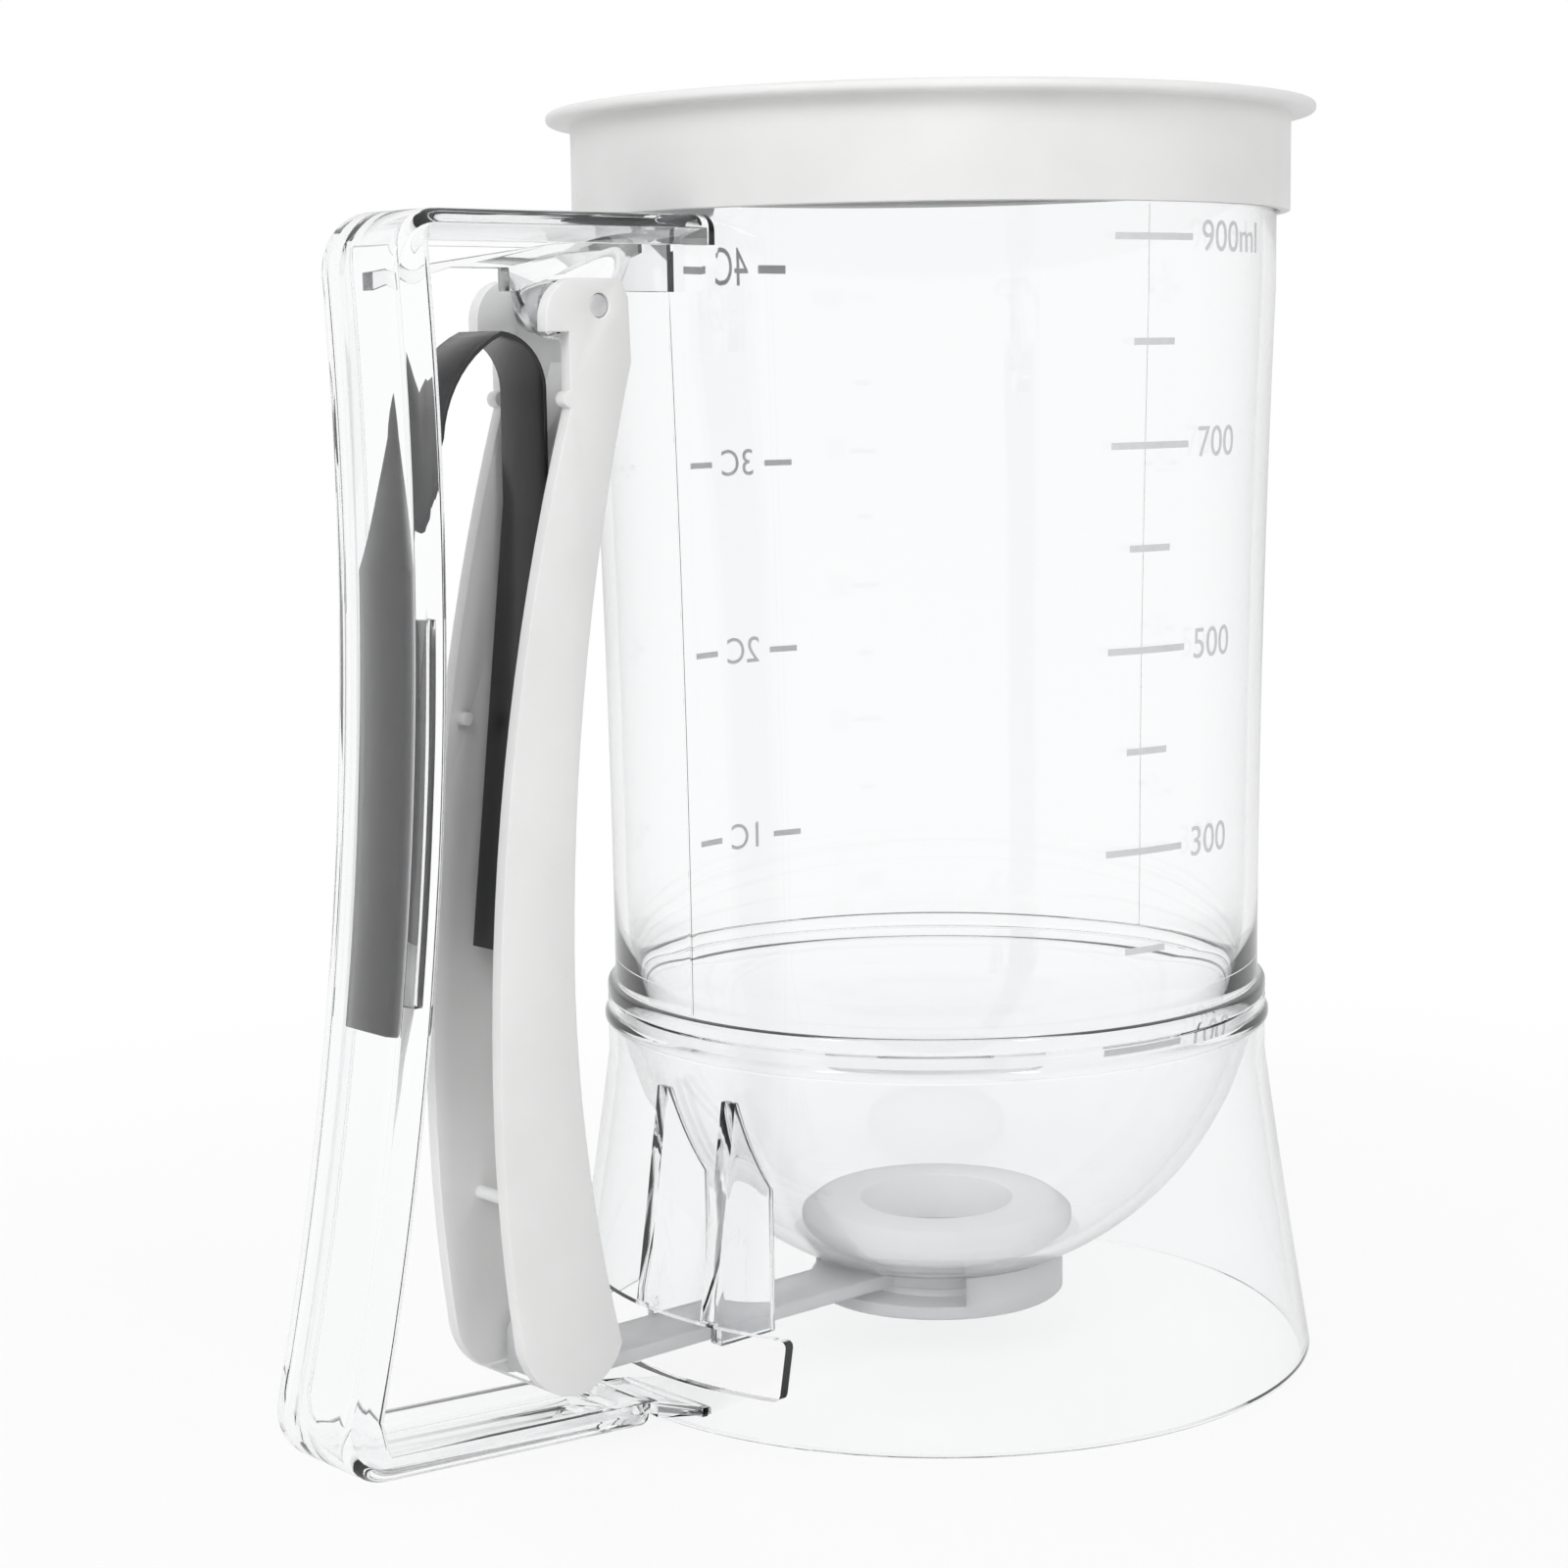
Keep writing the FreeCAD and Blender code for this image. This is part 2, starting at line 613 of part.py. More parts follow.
def make_slide_valve():
    """Pad the flat bar with its round gate, and raise the slotted eye that the lever's peg moves."""
    body = new_body("slide_valve")
    bar = new_sketch(body, "BarOutline", "XY_Plane", "slide_low + slide_thickness / 2")
    meet = "-sqrt(gate_radius^2 - (%s / 2)^2)" % SLIDE_WIDTH
    side = SLIDE_WIDTH + " / 2"
    eye_front = "-(peg_reach + eye_half)"
    outline(bar, [
        (eye_front, "-" + side),
        (meet, "-" + side),
        (meet, side),
        (eye_front, side),
    ])
    pad(body, "Bar", bar, "slide_thickness")
    gate = new_sketch(body, "GateOutline", "XY_Plane", "slide_low + slide_thickness / 2")
    ring(gate, "0", "0", "gate_radius")
    pad(body, "Gate", gate, "slide_thickness")
    eye = new_sketch(body, "EyeOutline", "XZ_Plane")
    outline(eye, [
        (eye_front, "slide_low"),
        ("-(peg_reach - eye_half)", "slide_low"),
        ("-(peg_reach - eye_half)", "peg_height + peg_lift", "eye_half + eye_flat", "left"),
        (eye_front, "peg_height + peg_lift"),
    ])
    pad(body, "Eye", eye, SLIDE_WIDTH)
    slot = new_sketch(body, "EyeSlotOutline", "XZ_Plane")
    half = "(peg_radius + slide_clearance / 2)"
    bend = half + " + eye_flat / 2"
    outline(slot, [
        ("-peg_reach - " + half, "peg_height - 5 * eye_flat", bend, "left"),
        ("-peg_reach + " + half, "peg_height - 5 * eye_flat"),
        ("-peg_reach + " + half, "peg_height + peg_lift", bend, "left"),
        ("-peg_reach - " + half, "peg_height + peg_lift"),
    ])
    pocket(body, "EyeSlot", slot, "2 * %s" % SLIDE_WIDTH)


def make_valve_seat():
    """Turn the soft seat: a neck through the jug's floor under a bevelled flange in the bowl."""
    body = new_body("valve_seat")
    profile = new_sketch(body, "Section", "XZ_Plane")
    inner_floor = "floor_height + bowl_wall"
    floor_edge = sphere_line("bowl_radius - bowl_wall", inner_floor)
    outline(profile, [
        ("outlet_radius", "slide_low + slide_thickness + slide_clearance"),
        ("outlet_hole", "slide_low + slide_thickness + slide_clearance"),
        ("outlet_hole", inner_floor),
        (floor_edge + " - slide_clearance", inner_floor),
        ("seat_radius", sphere_height("seat_radius")),
        ("seat_radius", "seat_top - seat_bevel"),
        ("seat_top_radius", "seat_top"),
        ("outlet_radius", "seat_top"),
    ])
    revolve(body, "Seat", profile)


def sphere_height(radius):
    """Formula for the height of the bowl's inner face at a radius, with the clearance added."""
    return "bowl_centre - sqrt((bowl_radius - bowl_wall)^2 - (%s)^2) + slide_clearance" % radius


def make_nozzle_ring():
    """Turn the ring under the floor and open its side towards the handle for the slide."""
    body = new_body("nozzle_ring")
    profile = new_sketch(body, "Section", "XZ_Plane")
    outline(profile, [
        ("outlet_radius", "nozzle_low"),
        ("nozzle_radius", "nozzle_low"),
        ("nozzle_radius", "floor_height"),
        ("nozzle_radius - nozzle_wall", "floor_height"),
        ("nozzle_radius - nozzle_wall", "nozzle_ledge"),
        ("outlet_radius", "nozzle_ledge"),
    ])
    revolve(body, "Ring", profile)
    mouth = new_sketch(body, "MouthOutline", "XZ_Plane")
    inner_reach = "-sqrt((nozzle_radius - nozzle_wall)^2 - (gate_radius + 1)^2)"
    outline(mouth, [
        ("-nozzle_radius - nozzle_wall", "nozzle_ledge"),
        (inner_reach, "nozzle_ledge"),
        (inner_reach, "floor_height + nozzle_wall"),
        ("-nozzle_radius - nozzle_wall", "floor_height + nozzle_wall"),
    ])
    pocket(body, "Mouth", mouth, "2 * (gate_radius + 1)")
    lip = new_sketch(body, "LipSection", "XZ_Plane")
    outline(lip, [
        ("outlet_radius", "nozzle_low"),
        ("outlet_radius + nozzle_wall", "nozzle_low"),
        ("outlet_radius + nozzle_wall", "slide_low - slide_clearance"),
        ("outlet_radius", "slide_low - slide_clearance"),
    ])
    revolve(body, "Lip", lip)


def make_lid():
    """Turn the lift-off lid: a flat disc with a flange, an outer skirt and an inner plug ring."""
    body = new_body("lid")
    profile = new_sketch(body, "Section", "XZ_Plane")
    under = "rim_height + slide_clearance"
    top = "rim_height + slide_clearance + lid_wall"
    plug_outer = "jug_radius - jug_wall - lid_clearance"
    bore = "jug_radius + lid_clearance"
    skirt_outer = bore + " + lid_skirt_wall"
    skirt_low = under + " - lid_skirt_height"
    outline(profile, [
        ("0", under),
        (plug_outer + " - plug_wall", under),
        (plug_outer + " - plug_wall", under + " - plug_height"),
        (plug_outer, under + " - plug_height"),
        (plug_outer, under),
        (bore, under),
        (bore, skirt_low),
        (skirt_outer, skirt_low),
        (skirt_outer, under),
        (skirt_outer + " + lid_flange", under),
        (skirt_outer + " + lid_flange", top),
        ("0", top),
    ])
    revolve(body, "Lid", profile)


def place_pieces():
    """Move every piece so that the origin lies under the middle of the whole object."""
    reach = "-(%s)" % grip_line("heel_height", "0")
    shift = "(%s - base_radius) / 2" % reach
    for piece in pieces:
        if piece.Label == "pivot_pin":
            drive(piece, ".Placement.Base.x", "-pivot_reach + " + shift)
        else:
            drive(piece, ".Placement.Base.x", shift)
    doc.recompute()


def check_pieces():
    """Stop with a message if any object failed or any piece isn't a sound solid."""
    for item in doc.Objects:
        if "Invalid" in item.State or "Error" in item.State:
            raise RuntimeError("%s failed: %s" % (item.Name, item.State))
    for piece in pieces:
        shape = piece.Shape
        if shape.isNull() or not shape.isValid() or not shape.Solids:
            raise RuntimeError("%s has no sound solid" % piece.Label)


def write_pieces():
    """Write each piece's solid to its own file, named after the piece."""
    os.makedirs(PARTS_FOLDER, exist_ok=True)
    for piece in pieces:
        box = piece.Shape.BoundBox
        piece.Shape.exportStep(os.path.join(PARTS_FOLDER, piece.Label + ".step"))
        print("%-14s solids %d volume %9.1f  x %.2f..%.2f  y %.2f..%.2f  z %.2f..%.2f" % (
            piece.Label, len(piece.Shape.Solids), piece.Shape.Volume,
            box.XMin, box.XMax, box.YMin, box.YMax, box.ZMin, box.ZMax))


fill_sheet()
make_container()
make_base_skirt()
make_handle_frame()
make_squeeze_lever()
make_pivot_pin()
make_return_spring()
make_slide_valve()
make_valve_seat()
make_nozzle_ring()
make_lid()
place_pieces()
check_pieces()
write_pieces()
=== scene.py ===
"""Studio scene of a clear batter dispenser with a squeeze lever, a slide valve and a white lid.

Lengths are in metres. The jug's axis is read from the frame, and everything else is placed from it.
"""

import logging
import math
from dataclasses import dataclass
from enum import Enum
from typing import Any, Dict, List, Optional, Sequence, Tuple, Union

import bpy
from mathutils import Matrix, Vector

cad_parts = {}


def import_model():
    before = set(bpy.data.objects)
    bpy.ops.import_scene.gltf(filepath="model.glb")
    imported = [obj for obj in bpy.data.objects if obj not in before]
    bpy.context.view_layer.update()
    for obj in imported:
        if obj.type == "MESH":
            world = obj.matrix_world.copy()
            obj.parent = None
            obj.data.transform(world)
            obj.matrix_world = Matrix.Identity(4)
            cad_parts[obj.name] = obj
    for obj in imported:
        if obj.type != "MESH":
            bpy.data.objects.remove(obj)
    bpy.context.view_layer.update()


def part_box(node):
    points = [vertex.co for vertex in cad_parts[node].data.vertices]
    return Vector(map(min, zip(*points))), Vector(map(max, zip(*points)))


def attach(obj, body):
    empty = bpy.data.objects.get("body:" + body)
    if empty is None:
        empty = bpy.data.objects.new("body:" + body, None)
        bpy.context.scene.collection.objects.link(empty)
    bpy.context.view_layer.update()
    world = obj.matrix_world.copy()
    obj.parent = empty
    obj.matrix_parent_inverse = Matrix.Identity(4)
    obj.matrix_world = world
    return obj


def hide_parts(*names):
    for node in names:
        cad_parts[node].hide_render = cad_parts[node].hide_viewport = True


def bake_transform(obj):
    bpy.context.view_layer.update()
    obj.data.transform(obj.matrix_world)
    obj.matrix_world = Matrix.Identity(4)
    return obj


MM = 0.001
MICRONS = 1e6
MERGE_GAP = 0.002 * MM
SLIVER = 0.0005 * MM
FULL_TURN = 2 * math.pi
FRONT_ANGLE = 270.0

log = logging.getLogger("batter_dispenser")
Point = Tuple[float, float]
Colour = Tuple[float, float, float, float]
Number = Union[float, "Signal"]
WHITE: Colour = (1.0, 1.0, 1.0, 1.0)


class Grain(Enum):
    """Which way a fine surface pattern is drawn out."""

    EVEN = (1.0, 1.0, 1.0)
    UPRIGHT = (1.0, 1.0, 0.08)
    ACROSS = (1.0, 0.08, 1.0)


class Body(Enum):
    """The moving bodies of the frame."""

    JUG = "jug"
    LID = "lid"
    LEVER = "lever"
    SLIDE = "slide"


# Shader maths


class Signal:
    """A shader value that can be used in arithmetic."""

    def __init__(self, paint: "Paint", socket: bpy.types.NodeSocket) -> None:
        """Keep the material and the socket that carries the value."""
        self.paint = paint
        self.socket = socket

    def _maths(self, operation: str, first: Number, second: Number) -> "Signal":
        """Add one Math node.

        Args:
            operation: Name of the Math node's operation.
            first: Left value.
            second: Right value.

        Returns:
            The node's result.
        """
        return self.paint.node("ShaderNodeMath", {"operation": operation}, {0: first, 1: second})

    def __add__(self, other: Number) -> "Signal":
        """Sum."""
        return self._maths("ADD", self, other)

    __radd__ = __add__

    def __sub__(self, other: Number) -> "Signal":
        """Difference."""
        return self._maths("SUBTRACT", self, other)

    def __rsub__(self, other: Number) -> "Signal":
        """Difference from a plain number."""
        return self._maths("SUBTRACT", other, self)

    def __mul__(self, other: Number) -> "Signal":
        """Product."""
        return self._maths("MULTIPLY", self, other)

    __rmul__ = __mul__

    def __truediv__(self, other: Number) -> "Signal":
        """Quotient."""
        return self._maths("DIVIDE", self, other)

    def __pow__(self, other: Number) -> "Signal":
        """Power."""
        return self._maths("POWER", self, other)

    def clamp(self) -> "Signal":
        """Keep the value between 0 and 1."""
        settings = {"operation": "ADD", "use_clamp": True}
        return self.paint.node("ShaderNodeMath", settings, {0: self, 1: 0.0})


class Paint:
    """One node material under construction."""

    mirrored_backdrop = 0.6

    def __init__(self, name: str, world: Optional[bpy.types.World] = None) -> None:
        """Start an empty node tree with an output.

        Args:
            name: Name of the material.
            world: World to fill instead of a new material.
        """
        self.material = world or bpy.data.materials.new(name)
        self.material.use_nodes = True
        self.tree = self.material.node_tree
        self.tree.nodes.clear()
        kind = "ShaderNodeOutputWorld" if world else "ShaderNodeOutputMaterial"
        self.output = self.tree.nodes.new(kind)

    def node(self, kind: str, settings: Dict[str, Any], inputs: Dict[Any, Any],
             result: Union[int, str] = 0) -> Signal:
        """Add a node, set it up and feed it.

        Args:
            kind: Type of the node.
            settings: Properties of the node; "stops" sets a ramp's colours.
            inputs: Values or signals by socket name or number.
            result: Which output to hand back.

        Returns:
            The chosen output as a signal.
        """
        made = self.tree.nodes.new(kind)
        for key, setting in settings.items():
            if key == "stops":
                self._set_stops(made, setting)
            else:
                setattr(made, key, setting)
        for key, given in inputs.items():
            if isinstance(given, Signal):
                self.tree.links.new(given.socket, made.inputs[key])
            else:
                made.inputs[key].default_value = given
        return Signal(self, made.outputs[result])

    @staticmethod
    def _set_stops(ramp: bpy.types.Node, stops: Sequence[Tuple[float, Colour]]) -> None:
        """Give a colour ramp its stops.

        Args:
            ramp: The ramp's node.
            stops: Place and colour of each stop.
        """
        elements = ramp.color_ramp.elements
        while len(elements) < len(stops):
            elements.new(0.5)
        for element, (place, colour) in zip(elements, stops):
            element.position = place
            element.color = colour

    def place(self, stretch: Sequence[float] = (1.0, 1.0, 1.0)) -> Signal:
        """Object coordinates, drawn out by a stretch per axis."""
        coordinates = self.node("ShaderNodeTexCoord", {}, {}, "Object")
        return self.node("ShaderNodeMapping", {}, {"Vector": coordinates, "Scale": tuple(stretch)})

    def noise(self, scale: float, detail: float = 2.0, grain: Grain = Grain.EVEN) -> Signal:
        """Cloudy pattern between 0 and 1, with its scale in waves per metre."""
        inputs = {"Vector": self.place(grain.value), "Scale": scale, "Detail": detail}
        return self.node("ShaderNodeTexNoise", {}, inputs, "Fac")

    def specks(self, scale: float, share: float) -> Signal:
        """Small round dots at random places; share sets how large they are.

        Args:
            scale: How close the dots stand.
            share: Size of a dot as a share of its cell.

        Returns:
            1 on a dot and 0 beside it.
        """
        inputs = {"Vector": self.place(), "Scale": scale}
        distance = self.node("ShaderNodeTexVoronoi", {}, inputs, "Distance")
        return self.node("ShaderNodeMath", {"operation": "LESS_THAN"}, {0: distance, 1: share})

    def blend_colours(self, amount: Number, first: Colour, second: Colour) -> Signal:
        """Mix of two colours."""
        settings = {"data_type": "RGBA", "clamp_factor": True}
        return self.node("ShaderNodeMix", settings, {0: amount, 6: first, 7: second}, 2)

    def bump(self, height: Signal, depth: float, strength: float = 1.0) -> Signal:
        """Normal that follows a height pattern of the given depth in metres."""
        inputs = {"Height": height, "Distance": depth, "Strength": strength}
        return self.node("ShaderNodeBump", {}, inputs)

    def facing(self, sharpness: float) -> Signal:
        """Value that rises from 0 to 1 where the surface turns edge-on."""
        edge_on = self.node("ShaderNodeLayerWeight", {}, {"Blend": 0.5}, "Facing")
        return edge_on ** sharpness

    def backdrop_share(self) -> Signal:
        """Share of the backdrop a ray sees: all of it, or part where it is mirrored."""
        straight = self.light_path("Is Camera Ray") + self.light_path("Is Transmission Ray")
        return (straight + self.mirrored_backdrop * self.light_path("Is Glossy Ray")).clamp()

    def light_path(self, kind: str) -> Signal:
        """1 for rays of one kind and 0 for the rest."""
        return self.node("ShaderNodeLightPath", {}, {}, kind)

    def surface(self, inputs: Dict[str, Any]) -> Signal:
        """Principled surface with the given inputs."""
        return self.node("ShaderNodeBsdfPrincipled", {}, inputs)

    def mix_surfaces(self, amount: Number, first: Signal, second: Signal) -> Signal:
        """Mix of two surfaces."""
        return self.node("ShaderNodeMixShader", {}, {0: amount, 1: first, 2: second})

    def finish(self, shader: Signal) -> bpy.types.Material:
        """Feed the output and hand back the material."""
        self.tree.links.new(shader.socket, self.output.inputs["Surface"])
        return self.material


# Finishes


@dataclass(frozen=True)
class ClearPlastic:
    """Polished clear moulding with faint flow waves and hair scratches, and painted grey shade
    mixed in where the wall turns edge-on.
    """

    name: str = "clear_plastic"
    colour: Colour = (0.982, 0.986, 0.989, 1.0)
    # Grey of the painted edge shade, standing for the dark edges the clear walls show when seen
    # edge-on; lighter grey along the hair scratches.
    painted_edge_shade_colour: Colour = (0.46, 0.48, 0.50, 1.0)
    scratched_edge_shade_colour: Colour = (0.6, 0.62, 0.64, 1.0)
    shadow_colour: Colour = (0.97, 0.975, 0.98, 1.0)
    index: float = 1.47
    roughness: float = 0.012
    scuff_roughness: float = 0.03
    edge_roughness: float = 0.2
    wave_scale: float = 28.0
    wave_depth: float = 0.00006
    scratch_scale: float = 900.0
    painted_edge_shade_share: float = 0.42
    painted_edge_shade_sharpness: float = 5.0
    shadow_share: float = 0.95

    def make(self) -> bpy.types.Material:
        """Build the material.

        Returns:
            The finished material.
        """
        paint = Paint(self.name)
        waves = paint.bump(paint.noise(self.wave_scale, 1.0), self.wave_depth)
        scuffs = paint.noise(self.scratch_scale, 3.0, Grain.UPRIGHT)
        clear = paint.surface({
            "Base Color": self.colour,
            "Roughness": self.roughness + self.scuff_roughness * (scuffs ** 4.0),
            "IOR": self.index,
            "Transmission Weight": 1.0,
            "Normal": waves,
        })
        # Opaque grey surface mixed in where the wall turns edge-on: painted edge shade, lighter
        # along the hair scratches.
        edge = paint.surface({
            "Base Color": paint.blend_colours(scuffs, self.painted_edge_shade_colour, self.scratched_edge_shade_colour),
            "Roughness": self.edge_roughness,
            "Normal": waves,
        })
        body = paint.mix_surfaces(self.painted_edge_shade_share * paint.facing(self.painted_edge_shade_sharpness), clear, edge)
        passing = paint.node("ShaderNodeBsdfTransparent", {}, {"Color": self.shadow_colour})
        shadow = paint.light_path("Is Shadow Ray") * self.shadow_share
        return paint.finish(paint.mix_surfaces(shadow, body, passing))


@dataclass(frozen=True)
class WhitePlastic:
    """Satin white moulding with a fine spark-eroded grain and slight shade changes."""

    name: str = "white_plastic"
    colour: Colour = (0.80, 0.80, 0.795, 1.0)
    shade: Colour = (0.72, 0.72, 0.715, 1.0)
    roughness: float = 0.32
    rubbed_roughness: float = 0.12
    speck_gloss: float = 0.1
    cloud_scale: float = 55.0
    cloud_start: float = 0.35
    cloud_gain: float = 1.6
    rub_scale: float = 160.0
    speck_scale: float = 260.0
    speck_share: float = 0.035
    grain_scale: float = 2600.0
    grain_depth: float = 0.000012

    def make(self) -> bpy.types.Material:
        """Build the material.

        Returns:
            The finished material.
        """
        paint = Paint(self.name)
        clouds = paint.noise(self.cloud_scale, 3.0)
        grain = paint.noise(self.grain_scale, 2.0)
        rubbed = paint.noise(self.rub_scale, 4.0)
        specks = paint.specks(self.speck_scale, self.speck_share)
        amount = (clouds - self.cloud_start) * self.cloud_gain
        colour = paint.blend_colours(amount, self.colour, self.shade)
        roughness = self.roughness + self.rubbed_roughness * rubbed - self.speck_gloss * specks
        return paint.finish(paint.surface({
            "Base Color": colour,
            "Roughness": roughness,
            "Subsurface Weight": 0.12,
            "Subsurface Radius": (0.004, 0.004, 0.004),
            "Subsurface Scale": 0.5,
            "IOR": 1.49,
            "Normal": paint.bump(grain + 0.6 * clouds, self.grain_depth),
        }))


@dataclass(frozen=True)
class MilkyPlastic:
    """Translucent unpigmented plastic of the slide and the nozzle ring."""

    name: str = "milky_plastic"
    colour: Colour = (0.91, 0.915, 0.92, 1.0)
    deep_colour: Colour = (0.84, 0.85, 0.86, 1.0)
    roughness: float = 0.28
    flow_roughness: float = 0.15
    transmission: float = 0.45
    cloud_scale: float = 140.0
    flow_scale: float = 420.0
    flow_depth: float = 0.00002

    def make(self) -> bpy.types.Material:
        """Build the material.

        Returns:
            The finished material.
        """
        paint = Paint(self.name)
        clouds = paint.noise(self.cloud_scale, 4.0)
        flow = paint.noise(self.flow_scale, 2.0, Grain.ACROSS)
        return paint.finish(paint.surface({
            "Base Color": paint.blend_colours(clouds * 1.2 - 0.1, self.colour, self.deep_colour),
            "Roughness": self.roughness + self.flow_roughness * flow,
            "Transmission Weight": self.transmission,
            "IOR": 1.45,
            "Subsurface Weight": 0.5,
            "Subsurface Radius": (0.003, 0.003, 0.003),
            "Subsurface Scale": 1.0,
            "Normal": paint.bump(flow + clouds, self.flow_depth),
        }))


@dataclass(frozen=True)
class Silicone:
    """Soft matt seat in the bowl."""

    name: str = "silicone"
    colour: Colour = (0.93, 0.93, 0.925, 1.0)
    shade: Colour = (0.87, 0.872, 0.875, 1.0)
    roughness: float = 0.5
    cloud_roughness: float = 0.15
    dust_gloss: float = 0.2
    cloud_scale: float = 90.0
    skin_scale: float = 1800.0
    skin_depth: float = 0.00003
    dust_scale: float = 420.0
    dust_share: float = 0.05

    def make(self) -> bpy.types.Material:
        """Build the material.

        Returns:
            The finished material.
        """
        paint = Paint(self.name)
        clouds = paint.noise(self.cloud_scale, 4.0)
        skin = paint.noise(self.skin_scale, 2.0)
        dust = paint.specks(self.dust_scale, self.dust_share)
        return paint.finish(paint.surface({
            "Base Color": paint.blend_colours(clouds, self.colour, self.shade),
            "Roughness": self.roughness + self.cloud_roughness * clouds - self.dust_gloss * dust,
            "Subsurface Weight": 0.4,
            "Subsurface Radius": (0.004, 0.004, 0.004),
            "Subsurface Scale": 1.0,
            "IOR": 1.41,
            "Normal": paint.bump(skin, self.skin_depth),
        }))


@dataclass(frozen=True)
class StripSteel:
    """Satin rolled steel with lines along its length and a darker heat tint."""

    name: str
    colour: Colour
    tint: Colour
    roughness: float
    grain: Grain = Grain.UPRIGHT
    line_scale: float = 2600.0
    line_depth: float = 0.000006
    line_roughness: float = 0.14
    cloud_scale: float = 120.0
    coat: float = 0.3
    coat_roughness: float = 0.16

    def make(self) -> bpy.types.Material:
        """Build the material.

        Returns:
            The finished material.
        """
        paint = Paint(self.name)
        lines = paint.noise(self.line_scale, 4.0, self.grain)
        clouds = paint.noise(self.cloud_scale, 3.0)
        return paint.finish(paint.surface({
            "Base Color": paint.blend_colours(0.6 * clouds + 0.4 * lines, self.colour, self.tint),
            "Metallic": 1.0,
            "Roughness": self.roughness + self.line_roughness * lines,
            "Coat Weight": self.coat,
            "Coat Roughness": self.coat_roughness,
            "Normal": paint.bump(lines, self.line_depth),
        }))


@dataclass(frozen=True)
class PrintInk:
    """Thin pale grey ink of the scale, slightly uneven where the pad left less."""

    name: str = "print_ink"
    colour: Colour = (0.56, 0.57, 0.58, 1.0)
    thin_colour: Colour = (0.68, 0.69, 0.70, 1.0)
    roughness: float = 0.45
    thin_roughness: float = 0.2
    cloud_scale: float = 900.0
    cloud_depth: float = 0.000008

    def make(self) -> bpy.types.Material:
        """Build the material.

        Returns:
            The finished material.
        """
        paint = Paint(self.name)
        clouds = paint.noise(self.cloud_scale, 3.0)
        return paint.finish(paint.surface({
            "Base Color": paint.blend_colours(clouds, self.colour, self.thin_colour),
            "Roughness": self.roughness + self.thin_roughness * clouds,
            "Normal": paint.bump(clouds, self.cloud_depth),
        }))


@dataclass(frozen=True)
class StudioFloor:
    """Plain white floor that keeps the object's shadow and fades into the white far off."""

    name: str = "studio_floor"
    colour: Colour = (0.86, 0.86, 0.86, 1.0)
    paper_colour: Colour = (0.83, 0.83, 0.83, 1.0)
    paper_scale: float = 18.0
    roughness: float = 0.9
    near_glow: float = 0.84
    fade_start: float = 0.12
    fade_length: float = 0.18

    def make(self) -> bpy.types.Material:
        """Build the material.

        Returns:
            The finished material.
        """
        paint = Paint(self.name)
        paper = paint.noise(self.paper_scale, 3.0)
        plain = paint.surface({
            "Base Color": paint.blend_colours(paper, self.colour, self.paper_colour),
            "Roughness": self.roughness,
        })
        glow = paint.node("ShaderNodeEmission", {}, {"Color": WHITE, "Strength": 1.0})
        settings = {"operation": "LENGTH"}
        distance = paint.node("ShaderNodeVectorMath", settings, {0: paint.place()}, "Value")
        far = ((distance - self.fade_start) / self.fade_length).clamp()
        share = paint.backdrop_share() * (self.near_glow + (1.0 - self.near_glow) * far)
        return paint.finish(paint.mix_surfaces(share, plain, glow))


@dataclass(frozen=True)
class Finishes:
    """Every finish of the object, each made once."""

    clear: bpy.types.Material
    white: bpy.types.Material
    milky: bpy.types.Material
    silicone: bpy.types.Material
    spring: bpy.types.Material
    pin: bpy.types.Material
    ink: bpy.types.Material

    @classmethod
    def make(cls) -> "Finishes":
        """Build all the materials.

        Returns:
            The whole set.
        """
        spring = StripSteel(
            name="spring_steel",
            colour=(0.06, 0.06, 0.063, 1.0),
            tint=(0.036, 0.036, 0.038, 1.0),
            roughness=0.24,
        )
        pin = StripSteel(
            name="pin_steel",
            colour=(0.74, 0.74, 0.75, 1.0),
            tint=(0.62, 0.62, 0.63, 1.0),
            roughness=0.3,
            grain=Grain.ACROSS,
        )
        return cls(
            clear=ClearPlastic().make(),
            white=WhitePlastic().make(),
            milky=MilkyPlastic().make(),
            silicone=Silicone().make(),
            spring=spring.make(),
            pin=pin.make(),
            ink=PrintInk().make(),
        )


# Modelling helpers


def deselect_all() -> None:
    """Leave nothing selected or active."""
    bpy.ops.object.select_all(action="DESELECT")
    bpy.context.view_layer.objects.active = None


def pick(piece: bpy.types.Object) -> None:
    """Select one object alone and make it active.

    Args:
        piece: Object to select.
    """
    deselect_all()
    piece.select_set(True)
    bpy.context.view_layer.objects.active = piece


def apply_modifier(piece: bpy.types.Object, name: str, kind: str, settings: Dict[str, Any]) -> None:
    """Add a modifier and apply it at once.

    Args:
        piece: Object that gets the modifier.
        name: Name of the modifier.
        kind: Type of the modifier.
        settings: Its properties.
    """
    pick(piece)
    modifier = piece.modifiers.new(name, kind)
    for key, setting in settings.items():
        setattr(modifier, key, setting)
    bpy.ops.object.modifier_apply(modifier=modifier.name)


def round_edges(piece: bpy.types.Object, width: float, segments: int = 2,
                angle: float = 32.0) -> None:
    """Round the sharp edges of a piece.

    Args:
        piece: Object whose edges are rounded.
        width: Width of the rounding.
        segments: Number of steps in it.
        angle: Smallest angle of an edge that counts as sharp, in degrees.
    """
    settings = {
        "width": width,
        "segments": segments,
        "limit_method": "ANGLE",
        "angle_limit": math.radians(angle),
        "miter_outer": "MITER_ARC",
        "use_clamp_overlap": True,
    }
    apply_modifier(piece, "edge_rounding", "BEVEL", settings)


